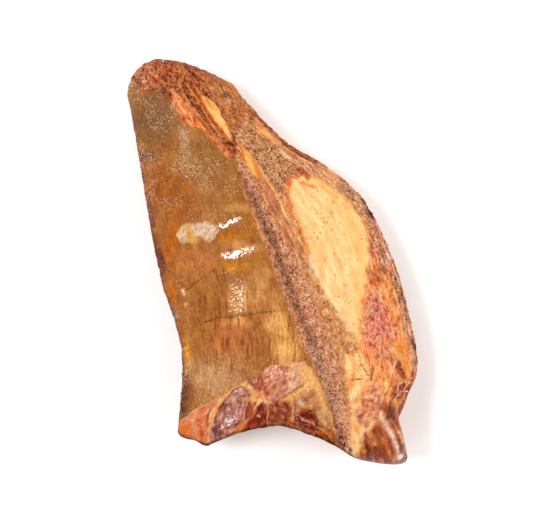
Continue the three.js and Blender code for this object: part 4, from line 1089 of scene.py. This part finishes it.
def edge_shift(points):
    """The outward move in (x, y), and the relief, that the serrations and wear of both edges give."""
    u, v = points[:, 3], points[:, 4]
    shift, relief = np.zeros((len(u), 2)), np.zeros(len(u))
    for line, outward, first, left, wear in CUTTING_EDGES:
        ahead, behind = side(line, np.clip(v + 0.01, 0, 1)), side(line, np.clip(v - 0.01, 0, 1))
        tangent = (ahead - behind) / np.linalg.norm(ahead - behind, axis=1, keepdims=True)
        tooth, shown = serration(v, first)
        uneven = 0.5 + 0.5 * noise(v * ALONG / 1.7, outward, 0, 43)
        fade = np.clip(1 - ACROSS * (u if outward < 0 else 1 - u) / 0.9, 0, 1)
        worn = wear * np.maximum(0, rough(v * ALONG / 1.6, outward, 0, 41) + 0.2) * smooth(v, 0.02, 0.06)
        bulge = sum(far * bump(points[:, 1] - at, half) for at, half, far in BULGES) * (outward > 0)
        out = outward * fade**2 * (DENTICLE_HEIGHT * left * uneven * tooth - worn + bulge)
        shift += out[:, None] * np.stack([tangent[:, 1], -tangent[:, 0]], -1)
        relief += fade * 0.07 * left * (tooth - shown)
    return shift, relief


def new_mesh(name, points, faces):
    """A mesh of points given in millimetres."""
    mesh = bpy.data.meshes.new(name)
    mesh.from_pydata((points * MM).tolist(), [], faces)
    mesh.shade_smooth()
    return mesh


def numbers(mesh, name, values):
    """Keeps one number for each point, for the material to read."""
    mesh.attributes.new(name, "FLOAT", "POINT").data.foreach_set("value", np.asarray(values, np.float32))


# What the lamps and the gloss add to a painted colour is taken off it first, so that it looks as painted.
SHEEN = (0.007, 0.04)  # what the gloss adds to a colour where the surface lies level, and where it is steep
SHEEN_TINT = (1.0, 0.62, 0.42)  # the warm tint of that gloss
LIGHT = 1.45  # how much brighter than its own colour the lamps make a surface


def linear(srgb):
    """The colour of a surface that looks as bright under the lamps as srgb, given as 0 to 255."""
    c = np.clip(np.asarray(srgb, float) / 255, 0, 1)
    return np.where(c < 0.04045, c / 12.92, ((c + 0.055) / 1.055) ** 2.4) / LIGHT


def colours(mesh, name, srgb, level=1.0):
    """Keeps one colour for each point, as it looks under the lamps. level: the normal's upward part."""
    sheen = mix(*SHEEN, smooth(1 - level, 0.25, 0.6)) / LIGHT
    own = np.maximum(linear(srgb) - np.reshape(sheen, (-1, 1)) * SHEEN_TINT, 0.35 * linear(srgb))
    rgba = np.column_stack([own, np.ones(len(own))]).astype(np.float32)
    mesh.color_attributes.new(name, "FLOAT_COLOR", "POINT").data.foreach_set("color", rgba.ravel())


def vectors(mesh, name, values):
    data = mesh.attributes.new(name, "FLOAT_VECTOR", "POINT").data
    data.foreach_set("vector", np.asarray(values, np.float32).ravel())


def bake_map(mesh, chart):
    """A UV map with a place for each corner, which chart gives for its point's and its face's number."""
    vertex = np.empty(len(mesh.loops), np.int32)
    mesh.loops.foreach_get("vertex_index", vertex)
    count = np.empty(len(mesh.polygons), np.int32)
    mesh.polygons.foreach_get("loop_total", count)
    layer = mesh.uv_layers.new(name="OFBake")
    uv = chart(vertex, np.repeat(np.arange(len(count)), count))
    layer.uv.foreach_set("vector", np.asarray(uv, np.float32).ravel())


def crown_chart(vertex, face):
    """The two faces beside each other, the upper one larger, and the break below them."""
    x, y, z = surface[vertex, :3].T
    x, y = x + 22, y + 31  # millimetres from the lower left of the crown's box
    is_upper, is_base = face < upper_count, face >= upper_count + under_count
    across = np.where(is_upper, 0.008 + x / 76, 0.605 + x / 112)
    up = np.where(is_upper, 0.18 + y / 76, 0.18 + y / 112)
    across = np.where(is_base, 0.02 + x / 76, across)
    up = np.where(is_base, 0.005 + (z + 0.5 * y) / 110, up)
    return np.stack([across, up], -1)


def crown_mesh():
    """The crown with its relief, serrations and wear, and all that its material reads."""
    points = surface[:, :3].copy()
    mesh = new_mesh("crown", points, faces)
    normals = np.empty(len(points) * 3, np.float32)
    mesh.vertices.foreach_get("normal", normals)
    normals = normals.reshape(-1, 3)
    shift, edge_relief = edge_shift(surface)
    on_faces = face_of != BASE
    relief = joined("relief") + edge_relief * on_faces
    points += normals * relief[:, None]
    points[:, :2] += shift * on_faces[:, None]
    x, y, z, u, v = surface.T
    ragged = (1 - smooth(off_rim(u, v), 0, 0.6)) * smooth(np.maximum(u, v), 0.9, 0.96) * on_faces
    points += normals * (RAGGED * rough(x / 0.7, y / 0.7, 0, 45, 2) * ragged)[:, None]
    middle, half_width, how_far, fades_over = ARCH
    points[:, 1] += how_far * bump(points[:, 0] - middle, half_width) * (1 - smooth(ALONG * v, 0, fades_over))
    points[:, 2] = np.maximum(points[:, 2], 0)
    mesh.vertices.foreach_set("co", (points * MM).astype(np.float32).ravel())
    mesh.update()
    colours(mesh, "paint", joined("colour"), normals[:, 2])
    level = normals[:, 2]
    fades = {"shine": smooth(level, 0.35, 0.65), "gloss": 0.25 + 0.75 * smooth(level, 0.1, 0.45)}
    for name in Skin.SHARES + Skin.LINES:
        numbers(mesh, name, joined(name) * fades.get(name, 1))
    apart = 20 * face_of + 3 * down_the_tip(z, v)  # keeps the faces' patterns different
    vectors(mesh, "flow", np.column_stack([ACROSS * u, ALONG * v, apart]))
    bake_map(mesh, crown_chart)
    return mesh, points, normals


# ---------- Grains of the sandstone film ----------

# What a grain makes of the colour under it, and how common each kind is: dark, plain, light, pale and pink.
GRAIN_TINTS = [(0.66, 0.5, 0.4), (0.9, 0.82, 0.76), (1.08, 1.05, 1.06), (1.14, 1.13, 1.16), (1.12, 1.05, 1.1)]
GRAIN_SHARES = [0.2, 0.28, 0.25, 0.17, 0.1]
GRAIN_SIZES = (0.07, 0.16)  # from the middle to a corner, before each is stretched
GRAINS_PER_POINT = 0.42  # where the film is all sand
GOLDEN = 1.618


def grain_shape():
    """An icosahedron: its corners, one unit from the middle, and its faces."""
    rectangle = np.array([(short, long, 0) for short in (-1, 1) for long in (-GOLDEN, GOLDEN)])
    corners = np.vstack([np.roll(rectangle, turn, axis=1) for turn in range(3)])
    corners /= np.linalg.norm(corners, axis=1, keepdims=True)
    near = np.linalg.norm(corners[:, None] - corners[None], axis=2) < 1.1
    triples = [(a, b, c) for a in range(len(corners)) for b in range(a) for c in range(b)]
    found = [(a, b, c) for a, b, c in triples if near[a, b] and near[b, c] and near[a, c]]
    outward = [np.linalg.det(corners[list(face)]) > 0 for face in found]
    return corners, np.array([face if out else face[::-1] for face, out in zip(found, outward)])


def sand_mesh(points, normals, sand, under_them):
    """Grains half sunk in the sandy places, tinted from the colours under them."""
    random = np.random.default_rng(7)
    inside = np.minimum(off_rim(surface[:, 3], surface[:, 4]), ALONG * surface[:, 4]) > 0.3
    sandy = np.flatnonzero((face_of == UPPER) & inside & (sand > 0.45))
    kept = sandy[random.random(len(sandy)) < GRAINS_PER_POINT * sand[sandy] ** 2]
    corners, triangles = grain_shape()
    count = len(kept)
    size = random.uniform(*GRAIN_SIZES, count)
    shape = corners * random.uniform(0.75, 1.25, (count, 12, 1)) * random.uniform(0.7, 1.2, (count, 1, 3))
    turn = np.linalg.qr(random.normal(size=(count, 3, 3)))[0]
    turn *= np.sign(np.linalg.det(turn))[:, None, None]
    centre = points[kept] + random.normal(0, 0.06, (count, 3)) + normals[kept] * (size * 0.15)[:, None]
    placed = centre[:, None] + np.einsum("nij,nkj->nki", turn, shape * size[:, None, None])
    all_faces = (triangles[None] + 12 * np.arange(count)[:, None, None]).reshape(-1, 3)
    mesh = new_mesh("sand", placed.reshape(-1, 3), all_faces.tolist())
    tint = np.array(GRAIN_TINTS)[random.choice(len(GRAIN_TINTS), count, p=GRAIN_SHARES)]
    tint *= random.uniform(0.88, 1.12, (count, 1))
    colours(mesh, "paint", np.repeat(under_them[kept] * tint, 12, axis=0))
    per_side = int(np.ceil(np.sqrt(count)))

    def chart(vertex, _):
        """A small square of the map for each grain."""
        grain, corner = vertex // 12, vertex % 12
        cell = np.stack([grain % per_side, grain // per_side], -1)
        return (cell + 0.5 + 0.38 * corners[corner][:, :2]) / per_side

    bake_map(mesh, chart)
    return mesh


# ---------- Materials ----------


class Graph:
    """A material's nodes."""

    def __init__(self, name):
        self.material = bpy.data.materials.new(name)
        self.material.use_nodes = True
        self.tree = self.material.node_tree
        self.shader = self.tree.nodes["Principled BSDF"]

    def feed(self, socket, value):
        if isinstance(value, bpy.types.NodeSocket):
            self.tree.links.new(value, socket)
        elif value is not None:
            socket.default_value = value

    def add(self, kind, *inputs, **settings):
        node = self.tree.nodes.new("ShaderNode" + kind)
        for name, value in settings.items():
            setattr(node, name, value)
        for socket, value in zip(node.inputs, inputs):
            self.feed(socket, value)
        return node

    def shade(self, **inputs):
        for name, value in inputs.items():
            self.feed(self.shader.inputs[name.replace("_", " ")], value)

    def maths(self, operation, *inputs):
        return self.add("Math", *inputs, operation=operation).outputs[0]

    def times(self, a, b):
        return self.maths("MULTIPLY", a, b)

    def plus(self, a, b):
        return self.maths("ADD", a, b)

    def grade(self, value, low, high, to_low=0.0, to_high=1.0):
        """Runs smoothly from to_low to to_high as the value goes from low to high."""
        numbers = (value, low, high, to_low, to_high)
        return self.add("MapRange", *numbers, interpolation_type="SMOOTHSTEP").outputs[0]

    def blend(self, a, b, share, how="MIX"):
        node = self.add("Mix", data_type="RGBA", blend_type=how)
        for index, value in ((0, share), (6, a), (7, b)):
            self.feed(node.inputs[index], value)
        return node.outputs[2]

    def brighten(self, colour, factor):
        """Multiplies a colour by a number."""
        return self.add("VectorMath", colour, None, None, factor, operation="SCALE").outputs[0]

    def vary(self, colour, change, share):
        """Makes a colour lighter or darker by the change times the share."""
        return self.brighten(colour, self.plus(1.0, self.times(change, share)))

    def stretch(self, vector, *scale):
        """A vector times one number, or times one for each of x, y and z."""
        scale = scale if len(scale) == 3 else scale * 3
        return self.add("VectorMath", vector, scale, operation="MULTIPLY").outputs[0]

    def noise(self, vector, detail=2.0, roughness=0.5):
        return self.add("TexNoise", vector, None, 1.0, detail, roughness).outputs[0]

    def bent(self, vector, wobbles, detail):
        """The vector, bent by a noise on another one."""
        wobble = self.add("TexNoise", wobbles, None, 1.0, detail).outputs["Color"]
        return self.add("VectorMath", vector, wobble, operation="ADD").outputs[0]

    def cells(self, vector):
        """Cells round scattered points: the cells' node, and three random numbers for each cell."""
        cells = self.add("TexVoronoi", vector, None, 1.0)
        return cells, self.add("SeparateColor", cells.outputs["Color"]).outputs

    def number(self, name):
        return self.add("Attribute", attribute_name=name).outputs["Fac"]

    def colour(self, name):
        return self.add("Attribute", attribute_name=name).outputs["Color"]

    def vector(self, name):
        return self.add("Attribute", attribute_name=name).outputs["Vector"]

    def place(self):
        """Where a point is, in millimetres."""
        return self.stretch(self.add("TexCoord").outputs["Object"], 1 / MM)

    def bump(self, height):
        """Shades as if the surface stood this many millimetres higher."""
        return self.add("Bump", 1.0, MM, None, height).outputs[0]


def tint(*srgb):
    """A painted colour for a node's socket."""
    return (*linear(srgb).tolist(), 1)


def grains(g, place):
    """Cells of their own brightness and tint with dark gaps, as a factor for the colour, and their height."""
    cells, each = g.cells(g.bent(g.stretch(place, 4.2), g.stretch(place, 4), 1))
    gaps = g.grade(cells.outputs["Distance"], 0.25, 0.8, 1.1, 0.55)
    light = g.times(g.grade(each[0], 0.0, 1.0, 0.6, 1.5), gaps)
    factor = g.blend((0.3, 0.1, 0.02, 1), (1.42, 1.48, 1.58, 1), g.times(light, 0.65))
    return factor, g.grade(cells.outputs["Distance"], 0.0, 0.8, 0.12, 0.0)


def scratches(g, place, share, per_mm, half_width, half_length):
    """Short scratches, each turned its own way, as many as the share says."""
    spread = g.bent(g.stretch(place, per_mm), g.stretch(place, 1.6), 1)
    cells, each = g.cells(spread)
    from_middle = g.add("VectorMath", spread, cells.outputs["Position"], operation="SUBTRACT").outputs[0]
    turned = g.add("VectorRotate", from_middle, rotation_type="Z_AXIS")
    g.feed(turned.inputs["Angle"], g.grade(each[0], 0.0, 1.0, -1.2, 1.2))
    apart = g.add("SeparateXYZ", turned.outputs[0])
    across, along = (g.maths("ABSOLUTE", part) for part in apart.outputs[:2])
    length = g.times(each[1], half_length * per_mm)
    width = half_width * per_mm
    near = g.grade(across, width, 0.6 * width)
    shown = g.grade(g.plus(each[2], share), 0.9, 1.45)
    return g.times(g.times(near, g.grade(g.plus(along, g.times(length, -1)), 0.05, 0.0)), shown)


def squiggles(g, place, share):
    """Short crooked scratches and flecks, in drifts."""
    drift = g.grade(g.noise(g.stretch(place, 0.34, 0.26, 0.3), 2), 0.42, 0.6, 0.25, 1.0)
    drifting = g.plus(g.times(share, drift), g.grade(share, 0.9, 1.6, 0.0, 0.6))
    long_ones = scratches(g, place, drifting, 1.6, 0.045, 0.4)
    short_ones = scratches(g, place, drifting, 3.4, 0.045, 0.17)
    return g.maths("MAXIMUM", long_ones, short_ones)


def web(g, place):
    """Thin crooked threads that meet in a net, with gaps in it."""
    bent = g.bent(g.stretch(place, 2.1, 1.4, 1.7), g.stretch(place, 2.6), 3)
    to_thread = g.add("TexVoronoi", bent, None, 1.0, feature="DISTANCE_TO_EDGE").outputs["Distance"]
    gate = g.grade(g.noise(g.stretch(place, 1.1), 2), 0.4, 0.55)
    return g.times(g.grade(to_thread, 0.1, 0.03), gate)


def dots(g, place):
    """Scattered round dots."""
    cells, each = g.cells(g.bent(g.stretch(place, 2.0, 1.3, 1.6), g.stretch(place, 3.2), 2))
    size = g.grade(each[1], 0.0, 1.0, 0.1, 0.34)
    inside = g.grade(g.plus(size, g.times(cells.outputs["Distance"], -1)), 0.0, 0.06)
    drift = g.noise(g.stretch(place, 0.5, 0.3, 0.4), 2)
    return g.times(inside, g.grade(g.plus(each[0], drift), 0.66, 0.9))


def hairline(g, place, name, outer, inner, faintest):
    """How strongly the lines of this name show: they waver, and fade out here and there."""
    waver = g.times(g.plus(g.noise(g.stretch(place, 5)), -0.5), 0.16)
    partly = g.grade(g.noise(g.stretch(place, 3), 2), 0.44, 0.54)
    away = g.plus(g.maths("ABSOLUTE", g.number(name)), waver)
    return g.times(g.grade(away, outer, inner), g.grade(partly, 0.0, 1.0, faintest, 1.0))


def clear_coat(g, place, shine):
    """A clear coat in small wrinkled flecks, only where the surface is polished."""
    wrinkles = g.noise(g.stretch(place, 1.5, 3.0, 2.2), 1)
    sparkle = g.plus(g.noise(g.stretch(place, 4.8, 6.8, 5.8), 2), g.times(shine, 0.42))
    coat = g.times(g.grade(sparkle, 0.7, 0.78), g.grade(shine, 0.0, 0.1))
    g.shade(Coat_Weight=coat, Coat_Roughness=0.05, Coat_IOR=1.8, Coat_Normal=g.bump(g.times(wrinkles, 0.018)))


def crown_material():
    g = Graph("fossil_tooth")
    place, flow = g.place(), g.vector("flow")
    gloss, sand, fleck, streak, thread, speck, grit, shine = [g.number(name) for name in Skin.SHARES]
    fine = g.noise(g.stretch(place, 2.8), 4, 0.7)
    fibre = g.noise(g.stretch(flow, 3.4, 0.4, 1), 4, 0.65)
    lines = g.noise(g.stretch(flow, 5.5, 0.5, 1), 2, 0.5)
    threads = g.noise(g.stretch(flow, 9.0, 1.1, 1), 2, 0.5)
    dashes = g.grade(g.noise(g.stretch(flow, 4.6, 0.7, 1), 2, 0.6), 0.58, 0.68)
    grain_light, grain_height = grains(g, place)

    colour = g.colour("paint")
    shadows = g.times(g.grade(fine, 0.52, 0.34), grit)
    lights = g.times(g.grade(fine, 0.5, 0.66), grit)
    colour = g.blend(colour, (0.42, 0.25, 0.16, 1), shadows, "MULTIPLY")
    colour = g.vary(colour, lights, 0.4)
    colour = g.vary(colour, g.grade(fibre, 0.34, 0.66, -0.4, 0.4), streak)
    colour = g.vary(colour, g.grade(lines, 0.42, 0.7, -0.08, 0.5), streak)
    colour = g.blend(colour, g.blend(colour, tint(88, 30, 16), 0.6), g.times(dashes, streak))
    colour = g.blend(colour, grain_light, sand, "MULTIPLY")

    flecks = squiggles(g, place, fleck)
    dust = g.times(g.grade(g.noise(g.stretch(place, 6), 2, 0.6), 0.56, 0.68), fleck)
    net = g.times(web(g, place), thread)
    pits = g.times(g.grade(g.noise(g.stretch(place, 4.4), 1), 0.32, 0.25), g.grade(grit, 0.3, 0.9))
    seam = hairline(g, place, "seam", 0.16, 0.04, 0.15)
    split = hairline(g, place, "split", 0.14, 0.06, 0.1)
    marks = [
        (flecks, 0.8, (248, 214, 176)),
        (dust, 0.3, (246, 200, 162)),
        (net, 0.8, (254, 200, 146)),
        (g.times(dots(g, place), speck), 0.7, (226, 116, 58)),
        (pits, 0.5, (74, 28, 18)),
        (seam, 0.8, (250, 184, 122)),
        (split, 0.7, (104, 36, 10)),
    ]
    for mark, share, srgb in marks:
        colour = g.blend(colour, tint(*srgb), g.times(mark, share))

    height = g.times(grain_height, sand)
    layers = [
        (g.times(threads, 0.03), streak),
        (g.times(fine, 0.05), grit),
        (split, -0.04),
        (g.plus(seam, net), 0.03),
        (flecks, 0.02),
    ]
    for layer, share in layers:
        height = g.plus(height, g.times(layer, share))

    polish = g.times(gloss, g.grade(fine, 0.35, 0.7, 1.0, 0.92))
    roughness = g.plus(g.grade(polish, 0.1, 1.0, 0.6, 0.07), g.times(sand, 0.15))
    g.shade(Base_Color=colour, Roughness=roughness, Normal=g.bump(height))
    g.shade(Specular_IOR_Level=0.1, Specular_Tint=(*SHEEN_TINT, 1))
    clear_coat(g, place, shine)
    return g.material


def sand_material():
    g = Graph("sandstone_grains")
    fine = g.noise(g.stretch(g.place(), 9), 2)
    colour = g.brighten(g.colour("paint"), g.grade(fine, 0.3, 0.7, 0.75, 1.2))
    roughness = g.grade(fine, 0.3, 0.7, 0.45, 0.75)
    g.shade(Base_Color=colour, Roughness=roughness, Normal=g.bump(g.times(fine, 0.02)))
    g.shade(Specular_IOR_Level=0.15, Specular_Tint=(*SHEEN_TINT, 1))
    return g.material


def floor_material():
    g = Graph("pale_floor")
    tone = g.noise(g.stretch(g.place(), 0.02), 2)
    g.shade(Base_Color=g.blend((0.95, 0.95, 0.95, 1), (0.98, 0.98, 0.98, 1), tone), Roughness=0.9)
    g.shade(Specular_IOR_Level=0.1)
    return g.material


# ---------- Pieces ----------


def new_piece(mesh, material, *replaced):
    """A piece named after its mesh, fixed to the root body, in the place of the CAD nodes given."""
    piece = bpy.data.objects.new(mesh.name, mesh)
    bpy.context.scene.collection.objects.link(piece)
    mesh.materials.append(material)
    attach(piece, "root")
    if replaced:
        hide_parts(*replaced)
    return piece


crown, crown_points, crown_normals = crown_mesh()
new_piece(crown, crown_material(), "tooth")
new_piece(sand_mesh(crown_points, crown_normals, joined("sand"), joined("colour")), sand_material())

# ---------- Floor, lights and camera, in metres ----------

FIELD_WIDTH = 0.08  # what the camera sees at the height of the cutting edges
FIELD_HEIGHT_ABOVE_FLOOR = 0.005
VIEW_CENTRE = (-0.0009, -0.00045)
LENS = 120  # in millimetres, on Blender's usual sensor
FLOOR_HALF = 3.0
FLOOR_DROP = 0.00002  # keeps the floor clear of the flat patch that the tooth rests on
AIM = (0, 0, 0.006)  # where all the lamps point
# The light tent's brightness: between the first and the second upward part of a direction it falls from the
# third number to the fourth.
TENT = (0.3, 0.85, 1.35, 0.14)


def floor():
    mesh = bpy.data.meshes.new("floor")
    corners = [(x * FLOOR_HALF, y * FLOOR_HALF, 0) for x, y in ((-1, -1), (1, -1), (1, 1), (-1, 1))]
    mesh.from_pydata(corners, [], [(0, 1, 2, 3)])
    mesh.materials.append(floor_material())
    sheet = bpy.data.objects.new("floor", mesh)
    sheet.location.z = -FLOOR_DROP
    bpy.context.scene.collection.objects.link(sheet)


def light(name, place, watts, length, width, along=(0, 1, 0)):
    """A soft rectangular light at place, its length along the line given, aimed at the tooth."""
    data = bpy.data.lights.new(name, "AREA")
    data.shape = "RECTANGLE"
    data.energy, data.size, data.size_y = watts, length, width
    lamp = bpy.data.objects.new(name, data)
    lamp.location = place
    away = (Vector(place) - Vector(AIM)).normalized()
    lengthwise = (Vector(along) - away * away.dot(along)).normalized()
    lamp.rotation_euler = Matrix((lengthwise, away.cross(lengthwise), away)).transposed().to_euler()
    bpy.context.scene.collection.objects.link(lamp)


def surroundings():
    """A white light tent, bright round the sides and dim overhead, where the camera looks in."""
    world = bpy.data.worlds.new("studio")
    world.use_nodes = True
    nodes, links = world.node_tree.nodes, world.node_tree.links
    background = nodes["Background"]
    background.inputs["Color"].default_value = (1, 1, 1, 1)
    split = nodes.new("ShaderNodeSeparateXYZ")
    links.new(nodes.new("ShaderNodeTexCoord").outputs["Generated"], split.inputs[0])
    grade = nodes.new("ShaderNodeMapRange")
    for socket, value in zip(grade.inputs[1:], TENT):
        socket.default_value = value
    links.new(split.outputs["Z"], grade.inputs["Value"])
    links.new(grade.outputs["Result"], background.inputs["Strength"])
    bpy.context.scene.world = world
    bpy.context.scene.view_settings.view_transform = "Standard"


def camera():
    data = bpy.data.cameras.new("camera")
    data.lens = LENS
    eye = bpy.data.objects.new("camera", data)
    distance = FIELD_WIDTH * data.lens / data.sensor_width
    eye.location = (*VIEW_CENTRE, FIELD_HEIGHT_ABOVE_FLOOR + distance)
    bpy.context.scene.collection.objects.link(eye)
    bpy.context.scene.camera = eye


floor()
light("strip", (-0.273, 0.01, 0.4), 1.3, 0.24, 0.13, along=(0.05, 0.18, 0.035))
light("key", (-0.2, 0.25, 0.36), 0.45, 0.3, 0.3)
light("low_left", (-0.23, -0.25, 0.36), 0.15, 0.05, 0.05)
light("low_right", (0.42, -0.06, 0.16), 0.45, 0.06, 0.06)
light("fill", (0.3, 0.05, 0.3), 0.75, 0.3, 0.3)
surroundings()
camera()
